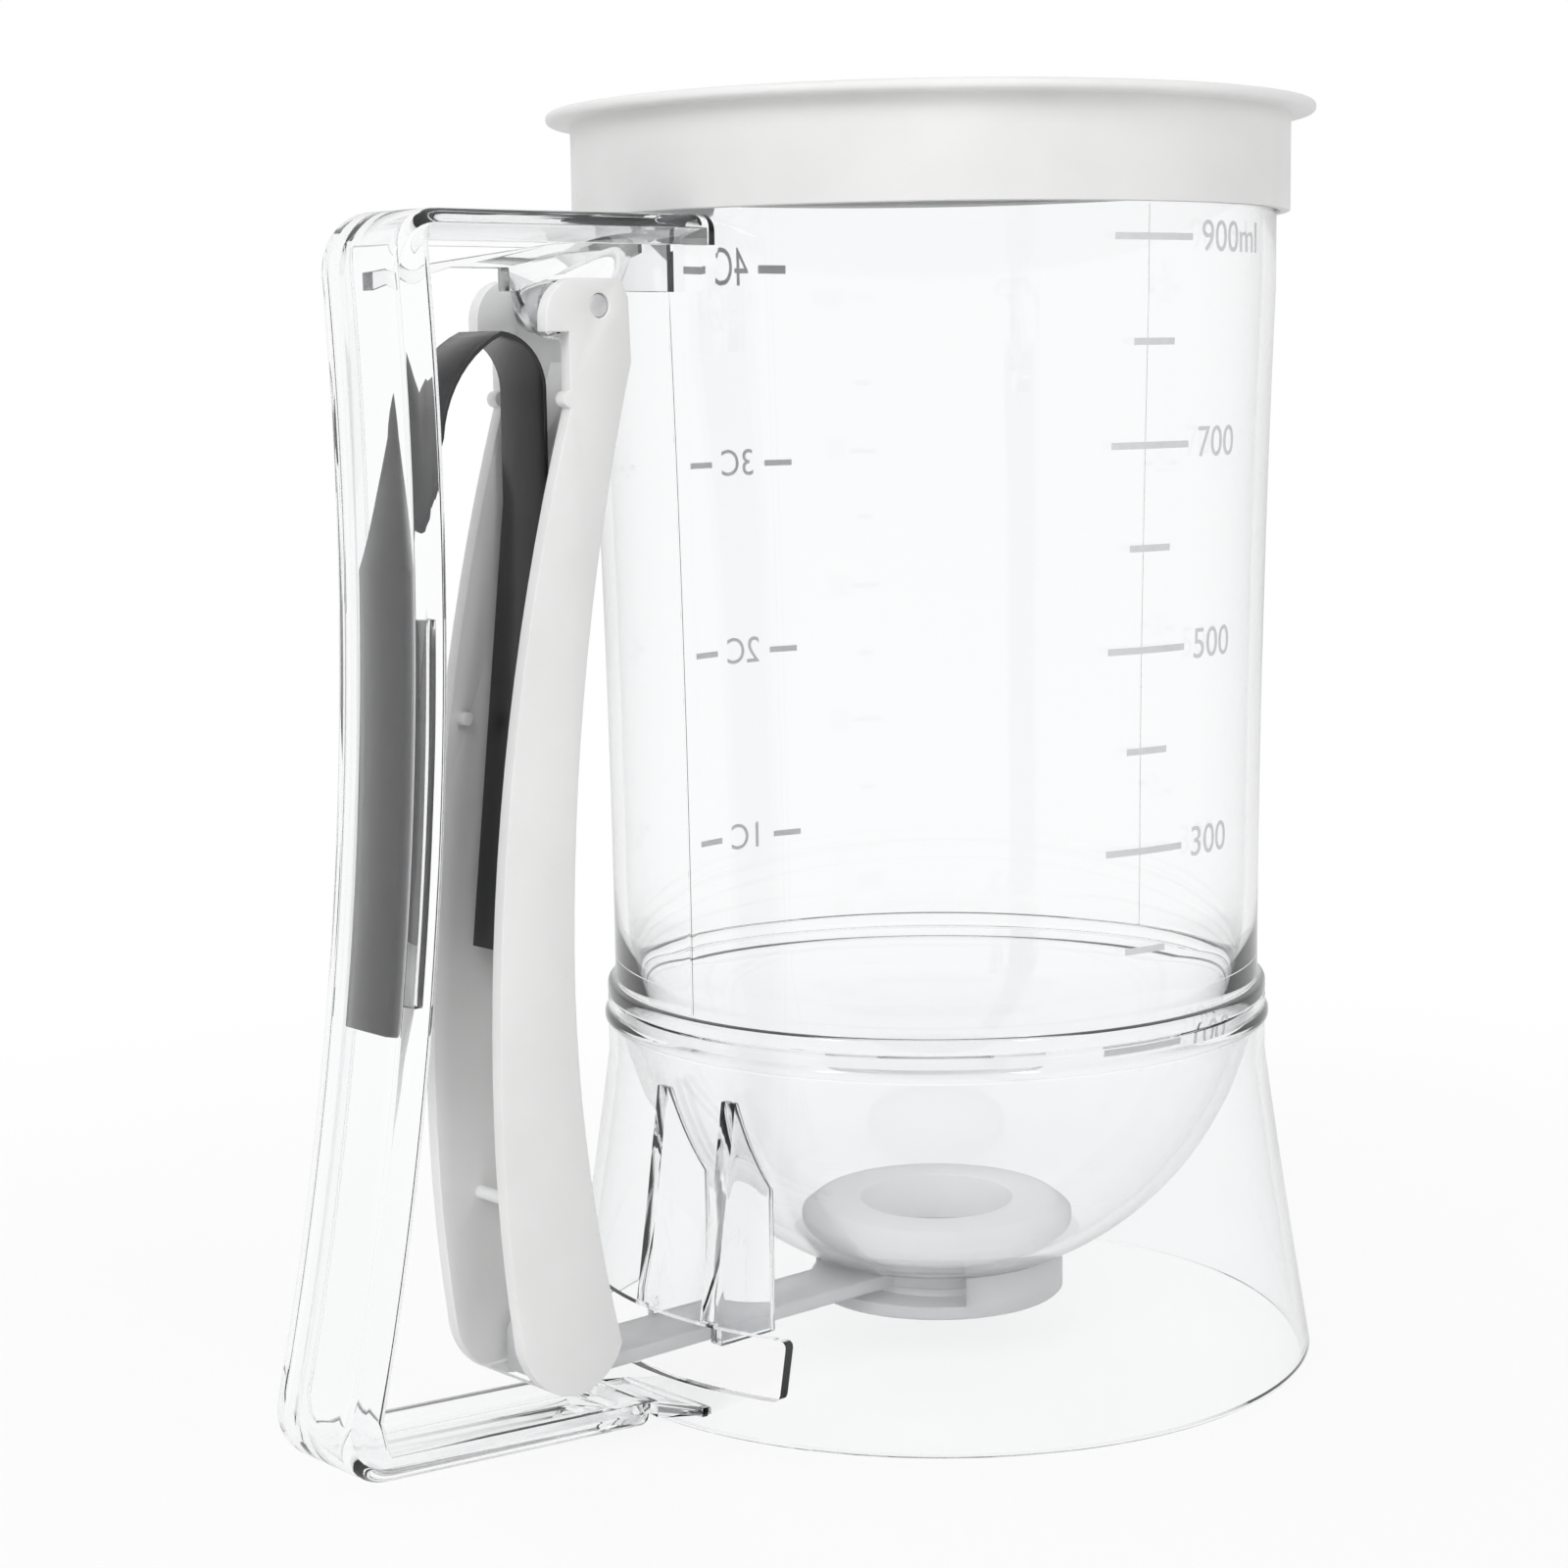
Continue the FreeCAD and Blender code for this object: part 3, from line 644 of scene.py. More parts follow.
def smooth(piece: bpy.types.Object, angle: float = 30.0) -> None:
    """Shade a piece smooth across all but its sharp edges."""
    pick(piece)
    bpy.ops.object.shade_smooth_by_angle(angle=math.radians(angle))


def dress(piece: bpy.types.Object, finish: bpy.types.Material) -> None:
    """Give a piece one finish all over.

    Args:
        piece: Object to dress.
        finish: Its material.
    """
    piece.data.materials.clear()
    piece.data.materials.append(finish)
    for face in piece.data.polygons:
        face.material_index = 0


def draw_chain(name: str, points: Sequence[Sequence[float]], filled: bool) -> bpy.types.Object:
    """Extrude one vertex along a run of points.

    Args:
        name: Name of the new piece.
        points: Places of the vertices, in their order.
        filled: Whether the run is closed by a face.

    Returns:
        The new object, at the origin.
    """
    deselect_all()
    bpy.ops.mesh.primitive_plane_add(size=MM, location=(0.0, 0.0, 0.0))
    piece = bpy.context.active_object
    piece.name = name
    piece.data.name = name
    bpy.ops.object.mode_set(mode="EDIT")
    bpy.ops.mesh.select_all(action="SELECT")
    bpy.ops.mesh.merge(type="CENTER")
    bpy.ops.transform.translate(value=points[0])
    for before, after in zip(points, points[1:]):
        step = Vector(after) - Vector(before)
        bpy.ops.mesh.extrude_vertices_move(TRANSFORM_OT_translate={"value": step})
    if filled:
        bpy.ops.mesh.select_all(action="SELECT")
        bpy.ops.mesh.edge_face_add()
    bpy.ops.object.mode_set(mode="OBJECT")
    return piece


def turned(name: str, profile: Sequence[Point], axis_x: float, steps: int) -> bpy.types.Object:
    """Spin a closed profile round the upright axis.

    Args:
        name: Name of the new piece.
        profile: Radius and height of each corner, all off the axis or on it.
        axis_x: Where the axis stands.
        steps: Number of steps in the full turn.

    Returns:
        The new closed piece.
    """
    points = [(axis_x + radius, 0.0, height) for radius, height in profile]
    piece = draw_chain(name, points, True)
    bpy.ops.object.mode_set(mode="EDIT")
    bpy.ops.mesh.select_all(action="SELECT")
    bpy.ops.mesh.delete(type="ONLY_FACE")
    bpy.ops.mesh.select_all(action="SELECT")
    bpy.ops.mesh.spin(steps=steps, angle=FULL_TURN, center=(axis_x, 0.0, 0.0), axis=(0.0, 0.0, 1.0))
    bpy.ops.mesh.select_all(action="SELECT")
    bpy.ops.mesh.remove_doubles(threshold=MERGE_GAP)
    bpy.ops.mesh.dissolve_degenerate(threshold=SLIVER)
    bpy.ops.mesh.normals_make_consistent(inside=False)
    bpy.ops.object.mode_set(mode="OBJECT")
    return piece


def arc(centre: Point, radius: float, start: float, end: float, count: int) -> List[Point]:
    """Points on an arc, with its angles in degrees from the outward direction."""
    angles = [math.radians(start + (end - start) * index / count) for index in range(count + 1)]
    return [(centre[0] + radius * math.cos(a), centre[1] + radius * math.sin(a)) for a in angles]


def bend(start: Point, end: Point, radius: float, count: int, turn: float = 1.0) -> List[Point]:
    """Points of an arc between two points, without the first.

    Args:
        start: Where the arc begins.
        end: Where it ends.
        radius: Radius of the arc.
        count: Number of points.
        turn: 1 where the way turns left, -1 where it turns right.

    Returns:
        The arc's points.
    """
    first, last = Vector(start), Vector(end)
    half = (last - first) / 2
    across = turn * Vector((-half.y, half.x)).normalized()
    centre = first + half + across * math.sqrt(max(radius ** 2 - half.length ** 2, 0.0))
    sweep = turn * 2 * math.asin(min(half.length / radius, 1.0))
    spoke = first - centre
    spins = [Matrix.Rotation(sweep * index / count, 2) for index in range(1, count + 1)]
    return [tuple(centre + spin @ spoke) for spin in spins]


def oblong(left: float, right: float, low: float, high: float) -> List[Point]:
    """Corners of an upright oblong."""
    return [(left, low), (right, low), (right, high), (left, high)]


def widen(piece: bpy.types.Object, width: float) -> None:
    """Draw a run or a face out across the handle's plane.

    Args:
        piece: Flat run or face.
        width: How far it is drawn out.
    """
    pick(piece)
    bpy.ops.object.mode_set(mode="EDIT")
    bpy.ops.mesh.select_all(action="SELECT")
    bpy.ops.mesh.extrude_region_move(TRANSFORM_OT_translate={"value": (0.0, width, 0.0)})
    bpy.ops.mesh.select_all(action="SELECT")
    bpy.ops.mesh.normals_make_consistent(inside=False)
    bpy.ops.object.mode_set(mode="OBJECT")


def slab(name: str, outline: Sequence[Point], axis_x: float, width: float,
         middle: float = 0.0) -> bpy.types.Object:
    """Grow an upright side view into a solid of even width.

    Args:
        name: Name of the new piece.
        outline: Corners of the side view, measured from the jug's axis.
        axis_x: Where the axis stands.
        width: Width across the handle's plane.
        middle: Where the middle of that width lies.

    Returns:
        The new closed piece.
    """
    points = [(axis_x + x, middle - width / 2, z) for x, z in outline]
    piece = draw_chain(name, points, True)
    widen(piece, width)
    return piece


def copy_of_node(node: str, name: str) -> bpy.types.Object:
    """Copy a frame node into a new piece with merged vertices and whole flat faces.

    Args:
        node: Name of the frame node.
        name: Name of the new piece.

    Returns:
        The new object, at the origin.
    """
    source = bpy.data.objects[node]
    piece = bpy.data.objects.new(name, source.data.copy())
    piece.data.name = name
    bpy.context.scene.collection.objects.link(piece)
    pick(piece)
    if piece.data.has_custom_normals:
        bpy.ops.mesh.customdata_custom_splitnormals_clear()
    bpy.ops.object.mode_set(mode="EDIT")
    bpy.ops.mesh.select_all(action="SELECT")
    bpy.ops.mesh.remove_doubles(threshold=MERGE_GAP)
    bpy.ops.mesh.dissolve_limited(angle_limit=math.radians(0.8))
    bpy.ops.object.mode_set(mode="OBJECT")
    return piece


def unite(piece: bpy.types.Object, other: bpy.types.Object) -> None:
    """Join another solid to a piece and drop the walls inside.

    Args:
        piece: Solid that grows.
        other: Solid that is joined to it and then removed.
    """
    settings = {"operation": "UNION", "solver": "EXACT", "object": other}
    apply_modifier(piece, "union", "BOOLEAN", settings)
    bpy.data.objects.remove(other)


def carve(piece: bpy.types.Object, cutter: bpy.types.Object) -> None:
    """Cut another solid out of a piece.

    Args:
        piece: Solid that is cut.
        cutter: Solid that is cut out of it and then removed.
    """
    settings = {"operation": "DIFFERENCE", "solver": "EXACT", "object": cutter}
    apply_modifier(piece, "carving", "BOOLEAN", settings)
    bpy.data.objects.remove(cutter)


def settle(piece: bpy.types.Object, body: Body, nodes: Sequence[str] = ()) -> None:
    """Let a finished piece ride on its body and stand for its nodes.

    Args:
        piece: The finished piece.
        body: Body it moves with.
        nodes: Frame nodes it stands for.
    """
    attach(piece, body.value)
    if nodes:
        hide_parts(*nodes)
    log.info("%s: %d faces", piece.name, len(piece.data.polygons))


# Sub-assemblies


@dataclass
class HandleLoop:
    """The clear handle: a rounded loop with a channel, a hanging rib with its hub, and keepers."""

    axis_x: float
    width: float = 18.0 * MM
    web: float = 2.0 * MM
    side: float = 2.0 * MM
    depth: float = 5.4 * MM
    waist: float = 101.9 * MM
    curve: float = 480.0 * MM
    waist_height: float = 130.0 * MM
    root: float = 49.6 * MM
    arm_top: float = 170.1 * MM
    arm_height: float = 4.2 * MM
    top_corner: float = 8.0 * MM
    low_corner: float = 7.5 * MM
    heel: float = 14.5 * MM
    foot_start: float = 109.4 * MM
    foot_back: float = 5.9 * MM
    foot_front: float = 1.8 * MM
    foot_height: float = 3.8 * MM
    foot_step: float = 64.3 * MM
    tongue_reach: float = 54.0 * MM
    tongue_wall: float = 1.2 * MM
    rib_wall: float = 2.4 * MM
    rib_low: float = 159.8 * MM
    rib_step: float = 3.0 * MM
    hook_reach: float = 9.4 * MM
    pivot: Point = (-70.0 * MM, 157.8 * MM)
    hub_radius: float = 4.4 * MM
    hub_step: float = 1.0 * MM
    hub_width: float = 11.8 * MM
    pin_radius: float = 1.6 * MM
    hook_bend: float = 7.5 * MM
    keeper_heights: Point = (68.0 * MM, 118.0 * MM)
    keeper_inward: Point = (3.2 * MM, 4.4 * MM)
    keeper_depth: float = 2.85 * MM
    keeper_middle: float = 5.575 * MM
    rounding: float = 2.3 * MM
    rounding_steps: int = 7
    edge: float = 0.3 * MM
    corner_points: int = 10
    grip_points: int = 28
    keeper_points: int = 12
    disc_points: int = 40

    def _grip(self, height: float, inward: float) -> Point:
        """Point of the grip's waisted line at a height, a distance in from its back.

        Args:
            height: Height above the table.
            inward: Distance in from the grip's back.

        Returns:
            Place across from the jug's axis, and the height.
        """
        curve = self.curve + inward
        sag = math.sqrt(curve ** 2 - (height - self.waist_height) ** 2)
        return (sag - self.waist - self.curve, height)

    def _grip_run(self, first: float, last: float, inward: float, count: int) -> List[Point]:
        """Points along the grip between two heights."""
        return [self._grip(first + (last - first) * i / count, inward) for i in range(count + 1)]

    def _foot(self, reach: float, above: float) -> Point:
        """Point a distance above the foot's sloping underside."""
        slope = (self.foot_back - self.foot_front) / (self.foot_start - self.tongue_reach)
        return (-reach, self.foot_front + (reach - self.tongue_reach) * slope + above)

    def _outside(self, inward: float) -> List[Point]:
        """The loop's back line from the jug over the grip to the start of the foot.

        Args:
            inward: Distance in from the back line.

        Returns:
            The line's points.
        """
        high = self.arm_top - self.top_corner
        top = self._grip(high, inward)
        start = (top[0] + self.top_corner - inward, self.arm_top - inward)
        low = self._grip(self.heel, inward)
        end = self._foot(self.foot_start, inward)
        root = self.root + self.edge if inward else self.root
        run = [(-root, self.arm_top - inward), start]
        run += bend(start, top, self.top_corner - inward, self.corner_points)
        run += self._grip_run(high, self.heel, inward, self.grip_points)[1:]
        return run + bend(low, end, self.low_corner - inward, self.corner_points)

    @staticmethod
    def _key(across: float, height: float) -> Tuple[int, int]:
        """Place in the side view, rounded to a thousandth of a millimetre."""
        return round(across * MICRONS), round(height * MICRONS)

    def _loop(self) -> bpy.types.Object:
        """The loop's solid with large rounding along its back edges.

        Returns:
            The loop before its channel is cut.
        """
        outer = self._outside(0.0)
        arm_low = self.arm_top - self.arm_height
        rest = [
            self._foot(self.foot_step + self.side, 0.0),
            self._foot(self.tongue_reach, 0.0),
            self._foot(self.tongue_reach, self.tongue_wall),
            self._foot(self.foot_step, self.tongue_wall),
            self._foot(self.foot_step, self.foot_height),
            self._foot(self.foot_start, self.foot_height),
        ]
        inner = self._grip_run(self.heel, arm_low, self.depth, self.grip_points)
        inner.append((-self.root, arm_low))
        loop = slab("handle_loop", outer + rest + inner, self.axis_x, self.width)
        soft = {self._key(self.axis_x + x, z) for x, z in outer + rest[:1]}
        pick(loop)
        bpy.ops.object.mode_set(mode="EDIT")
        bpy.ops.mesh.select_mode(type="EDGE")
        bpy.ops.mesh.select_all(action="DESELECT")
        bpy.ops.object.mode_set(mode="OBJECT")
        for edge in loop.data.edges:
            ends = [loop.data.vertices[index].co for index in edge.vertices]
            on_line = all(self._key(end.x, end.z) in soft for end in ends)
            edge.select = on_line and abs(ends[0].y - ends[1].y) < self.edge
        bpy.ops.object.mode_set(mode="EDIT")
        bpy.ops.mesh.bevel(offset=self.rounding, segments=self.rounding_steps, affect="EDGES")
        bpy.ops.mesh.select_mode(type="VERT")
        bpy.ops.object.mode_set(mode="OBJECT")
        return loop

    def _channel(self) -> bpy.types.Object:
        """Block that opens the loop's inside.

        Returns:
            The closed block.
        """
        inside = self._grip(self.waist_height, 2 * self.depth)[0]
        high = self.arm_top - 2 * self.arm_height
        outline = self._outside(self.web) + [
            self._foot(self.foot_step + self.side, self.web),
            self._foot(self.foot_step + self.side, 2 * self.foot_height),
            (inside, self._foot(self.foot_start, 4 * self.foot_height)[1]),
            (inside, high),
            (-self.root - self.edge, high),
        ]
        return slab("channel_cutter", outline, self.axis_x, self.width - 2 * self.side)

    def _rib(self) -> bpy.types.Object:
        """The rib that hangs from the arm and carries the hub, with its hook beside it.

        Returns:
            The rib with its hook.
        """
        reach, height = -self.pivot[0], self.pivot[1]
        bottom = height - self.hub_radius
        step = self.rib_low + self.rib_step
        hook = reach + self.hook_reach
        outline = [
            (-self.root, self.arm_top - self.web / 2),
            (-self.waist + self.web, self.arm_top - self.top_corner),
            (-self.waist + self.web, self.rib_low),
            (-hook - self.hook_reach, step),
            (-hook, step),
            (-hook, self.rib_low),
            (-hook + self.web, self.rib_low),
        ]
        outline += bend(outline[-1], (-reach, bottom), self.hook_bend, self.corner_points)
        outline += [
            (-reach + self.hub_radius, bottom),
            (-reach + 2 * self.hub_radius, self.rib_low),
            (-self.root, self.rib_low),
        ]
        return slab("hanging_rib", outline, self.axis_x, self.rib_wall)

    def _disc(self, name: str, radius: float, width: float) -> bpy.types.Object:
        """Round bar across the handle at the pivot."""
        circle = arc(self.pivot, radius, 0.0, 360.0, self.disc_points)
        return slab(name, circle[:-1], self.axis_x, width)

    def _keeper(self, side: float) -> bpy.types.Object:
        """Lip that holds one edge of the spring in the channel.

        Args:
            side: -1 for the near side of the channel, 1 for the far side.

        Returns:
            The lip.
        """
        low, high = self.keeper_heights
        near, far = self.keeper_inward
        outline = self._grip_run(low, high, near, self.keeper_points)
        outline += self._grip_run(high, low, far, self.keeper_points)
        middle = side * self.keeper_middle
        return slab("spring_keeper", outline, self.axis_x, self.keeper_depth, middle)

    def shape(self) -> bpy.types.Object:
        """Make the whole handle.

        Returns:
            The handle, its end sunk into the jug's wall.
        """
        handle = self._loop()
        carve(handle, self._channel())
        unite(handle, self._rib())
        unite(handle, self._disc("hub", self.hub_radius - self.hub_step, self.hub_width))
        carve(handle, self._disc("pivot_drill", self.pin_radius, self.width))
        for side in (-1.0, 1.0):
            unite(handle, self._keeper(side))
        round_edges(handle, self.edge, 2, 40.0)
        return handle


@dataclass
class ClearJug:
    """The clear moulding of wall, collar and bowl, with the handle loop grown on."""

    axis_x: float
    top_radius: float = 51.0 * MM
    waist_radius: float = 49.0 * MM
    wall: float = 2.0 * MM
    rim_height: float = 184.6 * MM
    straight_height: float = 160.0 * MM
    waist_height: float = 66.0 * MM
    wall_curve: float = 2600.0 * MM
    collar_radius: float = 50.2 * MM
    collar_top: float = 57.2 * MM
    collar_height: float = 55.0 * MM
    bowl_radius: float = 48.5 * MM
    bowl_centre: float = 58.5 * MM
    bowl_wall: float = 1.8 * MM
    floor_height: float = 14.0 * MM
    outlet_hole: float = 13.5 * MM
    edge: float = 0.5 * MM
    arm_low: float = 165.0 * MM
    ridge_top: float = 170.4 * MM
    ridge_width: float = 0.35 * MM
    ridge_proud: float = 0.1 * MM
    ridge_points: int = 12
    rim_points: int = 8
    wall_points: int = 14
    bowl_points: int = 22
    turns: int = 192

    def _wall_radius(self, height: float, inward: float) -> float:
        """Radius of the slightly waisted wall at a height.

        Args:
            height: Height above the table.
            inward: Distance in from the outside.

        Returns:
            The radius.
        """
        middle = (self.straight_height + self.waist_height) / 2
        half = (self.straight_height - self.waist_height) / 2
        along = (height - middle) / half
        chord = self.waist_radius + (self.top_radius - self.waist_radius) * (along + 1) / 2
        sag = half ** 2 / (2 * self.wall_curve) * (1 - along ** 2)
        return chord - sag - inward

    def _bowl_radius_at(self, height: float, inward: float) -> float:
        """Radius of the bowl's sphere at a height."""
        return math.sqrt((self.bowl_radius - inward) ** 2 - (self.bowl_centre - height) ** 2)

    def _bowl_line(self, low: float, inward: float) -> List[Point]:
        """Points down the bowl from the collar to a height.

        Args:
            low: Height at which the run ends.
            inward: Distance in from the outside.

        Returns:
            The points from the collar down.
        """
        drop = self.collar_height - low
        turns = [index / self.bowl_points * math.pi / 2 for index in range(self.bowl_points + 1)]
        heights = [self.collar_height - drop * math.sin(turn) for turn in turns]
        return [(self._bowl_radius_at(z, inward), z) for z in heights]

    def _jug_profile(self) -> List[Point]:
        """Closed section of the jug from the rim down the outside and up the inside.

        Returns:
            Radius and height of each corner.
        """
        inner_floor = self.floor_height + self.bowl_wall
        span = self.straight_height - self.waist_height
        heights = [self.straight_height - span * index / self.wall_points
                   for index in range(self.wall_points + 1)]
        outer_wall = [(self._wall_radius(z, 0.0), z) for z in heights]
        inner_wall = [(self._wall_radius(z, self.wall), z) for z in reversed(heights)]
        outer_bowl = self._bowl_line(self.floor_height, 0.0)
        inner_bowl = self._bowl_line(inner_floor, self.bowl_wall)[::-1]
        lip = self.wall / 2
        rim = arc((self.top_radius - lip, self.rim_height - lip), lip, 180.0, 0.0, self.rim_points)
        small = 0.3 * self.edge
        collar = [
            (self.waist_radius, self.collar_top + self.edge),
            (self.waist_radius + small, self.collar_top + 0.1 * self.edge),
            (self.collar_radius - self.edge, self.collar_top),
            (self.collar_radius - small, self.collar_top - small),
            (self.collar_radius, self.collar_top - self.edge),
            (self.collar_radius, self.collar_height + small),
            (self.collar_radius - small, self.collar_height),
        ]
        floor = [
            (self.outlet_hole + small, self.floor_height),
            (self.outlet_hole, self.floor_height + small),
            (self.outlet_hole, inner_floor - small),
            (self.outlet_hole + small, inner_floor),
        ]
        return rim + outer_wall + collar + outer_bowl + floor + inner_bowl + inner_wall

    def _ridge(self, side: float, top: float) -> bpy.types.Object:
        """Fine upright ridge where the halves of the mould met.

        Args:
            side: -1 for the handle's side, 1 for the far side.
            top: Height at which the ridge ends.

        Returns:
            The ridge, sunk a little into the wall.
        """
        low = self.collar_top + self.edge
        count = self.ridge_points
        heights = [low + (top - low) * index / count for index in range(count + 1)]
        on_wall = [min(max(z, self.waist_height), self.straight_height) for z in heights]
        radii = [self._wall_radius(z, 0.0) for z in on_wall]
        outer = [(side * (radius + self.ridge_proud), z) for radius, z in zip(radii, heights)]
        inner = [(side * (radius - self.wall / 2), z) for radius, z in zip(radii, heights)]
        return slab("parting_ridge", outer + inner[::-1], self.axis_x, self.ridge_width)

    def build(self, finishes: Finishes) -> bpy.types.Object:
        """Spin the jug, round the handle's edges and grow the two together.

        Args:
            finishes: The object's materials.

        Returns:
            The clear jug with its handle.
        """
        jug = turned("clear_jug", self._jug_profile(), self.axis_x, self.turns)
        unite(jug, HandleLoop(self.axis_x).shape())
        for side, top in ((-1.0, self.arm_low), (1.0, self.ridge_top)):
            unite(jug, self._ridge(side, top))
        smooth(jug)
        dress(jug, finishes.clear)
        settle(jug, Body.JUG, ["container", "handle_frame"])
        return jug


@dataclass
class FlaredFoot:
    """The clear foot with its bead, window, slot for the handle's tongue and guide plates."""

    axis_x: float
    base_radius: float = 57.4 * MM
    collar_radius: float = 50.2 * MM
    shoulder: float = 46.0 * MM
    collar_height: float = 55.0 * MM
    collar_drop: float = 0.02 * MM
    curve: float = 1400.0 * MM
    wall: float = 1.6 * MM
    bead_height: float = 52.0 * MM
    bead_proud: float = 0.5 * MM
    bead_steps: Tuple[Point, ...] = (
        (0.0, -2.2), (0.6, -1.4), (1.0, -0.6), (1.0, 0.6), (0.6, 1.4), (0.0, 2.2),
    )
    window_low: float = 6.0 * MM
    window_high: float = 14.5 * MM
    window_width: float = 42.0 * MM
    window_corner: float = 1.0 * MM
    guide_reach: float = 41.0 * MM
    guide_low: float = 11.0 * MM
    guide_gap: float = 11.5 * MM
    guide_wall: float = 2.5 * MM
    bowl_radius: float = 48.8 * MM
    bowl_centre: float = 58.5 * MM
    tongue_width: float = 18.0 * MM
    tongue_back: Point = (-64.3 * MM, 2.57 * MM)
    tongue_front: Point = (-54.0 * MM, 1.8 * MM)
    tongue_wall: float = 1.2 * MM
    tongue_room: float = 0.05 * MM
    edge: float = 0.3 * MM
    wall_points: int = 16
    guide_points: int = 8
    turns: int = 192

    def _radius_at(self, height: float) -> float:
        """Outer radius of the flare, which bows inwards a little between its ends.

        Args:
            height: Height above the table.

        Returns:
            The radius.
        """
        share = height / self.shoulder
        chord = self.base_radius + (self.collar_radius - self.base_radius) * share
        sag = (self.shoulder / 2) ** 2 / (2 * self.curve) * (1 - (2 * share - 1) ** 2)
        return chord - sag

    def _profile(self) -> List[Point]:
        """Section of the foot from its lower edge up the outside and down the inside.

        Returns:
            Radius and height of each corner.
        """
        small = self.edge
        count = self.wall_points
        heights = [small + (self.shoulder - small) * index / count for index in range(count + 1)]
        outside = [(self._radius_at(z), z) for z in heights]
        inside = [(self._radius_at(z) - self.wall, z) for z in reversed(heights)]
        proud = self.bead_proud
        bead = [(self.collar_radius + out * proud, self.bead_height + up * proud)
                for out, up in self.bead_steps]
        collar = bead + [
            (self.collar_radius, self.collar_height - small),
            (self.collar_radius - small, self.collar_height - self.collar_drop),
            (self.collar_radius - self.wall + small, self.collar_height - self.collar_drop),
            (self.collar_radius - self.wall, self.collar_height - small),
        ]
        inner_foot = self.base_radius - self.wall
        ground = [(inner_foot + small, 0.0), (self.base_radius - small, 0.0)]
        return outside + collar + inside + ground

    def _window_cutter(self) -> bpy.types.Object:
        """Block that opens the window on the handle's side.

        Returns:
            The block, its edges rounded.
        """
        left = -self.base_radius - self.wall
        outline = oblong(left, -self.guide_reach, self.window_low, self.window_high)
        cutter = slab("window_cutter", outline, self.axis_x, self.window_width)
        round_edges(cutter, self.window_corner, 3, 80.0)
        return cutter

    def _tongue_cutter(self) -> bpy.types.Object:
        """Sloping block that lets the handle's tongue through the wall.

        Returns:
            The block.
        """
        back, front = self.tongue_back, self.tongue_front
        room = self.tongue_room
        outline = [
            (back[0], back[1] - room),
            (front[0] + room, front[1] - room),
            (front[0] + room, front[1] + self.tongue_wall + room),
            (back[0], back[1] + self.tongue_wall + room),
        ]
        return slab("tongue_cutter", outline, self.axis_x, self.tongue_width + 2 * room)

    def _guide(self, side: float) -> bpy.types.Object:
        """One guide plate under the bowl, beside the slide bar.

        Args:
            side: -1 for the near plate, 1 for the far one.

        Returns:
            The plate.
        """
        step = self._radius_at(self.window_high)
        count = self.guide_points
        low_angle = math.acos(self.guide_reach / self.bowl_radius)
        high_angle = math.asin((self.bowl_centre - self.shoulder) / self.bowl_radius)
        under_bowl = []
        for index in range(count + 1):
            angle = high_angle + (low_angle - high_angle) * index / count
            reach = self.bowl_radius * math.cos(angle)
            under_bowl.append((-reach, self.bowl_centre - self.bowl_radius * math.sin(angle)))
        outline = [
            (-self.guide_reach, self.guide_low),
            (-(step - 2 * self.wall), self.guide_low),
            (-(step - 2 * self.wall), self.window_high),
            (-(step - self.wall / 2), self.window_high),
            (-(self._radius_at(self.shoulder) - self.wall / 2), self.shoulder),
        ] + under_bowl
        middle = side * (self.guide_gap + self.guide_wall) / 2
        guide = slab("guide_plate", outline, self.axis_x, self.guide_wall, middle)
        round_edges(guide, self.edge, 2, 40.0)
        return guide

    def build(self, finishes: Finishes) -> bpy.types.Object:
        """Spin the foot, open it, fit its guides and dress it.

        Args:
            finishes: The object's materials.

        Returns:
            The clear foot.
        """
        foot = turned("flared_foot", self._profile(), self.axis_x, self.turns)
        carve(foot, self._window_cutter())
        carve(foot, self._tongue_cutter())
        for side in (-1.0, 1.0):
            unite(foot, self._guide(side))
        smooth(foot)
        dress(foot, finishes.clear)
        settle(foot, Body.JUG, ["base_skirt"])
        return foot


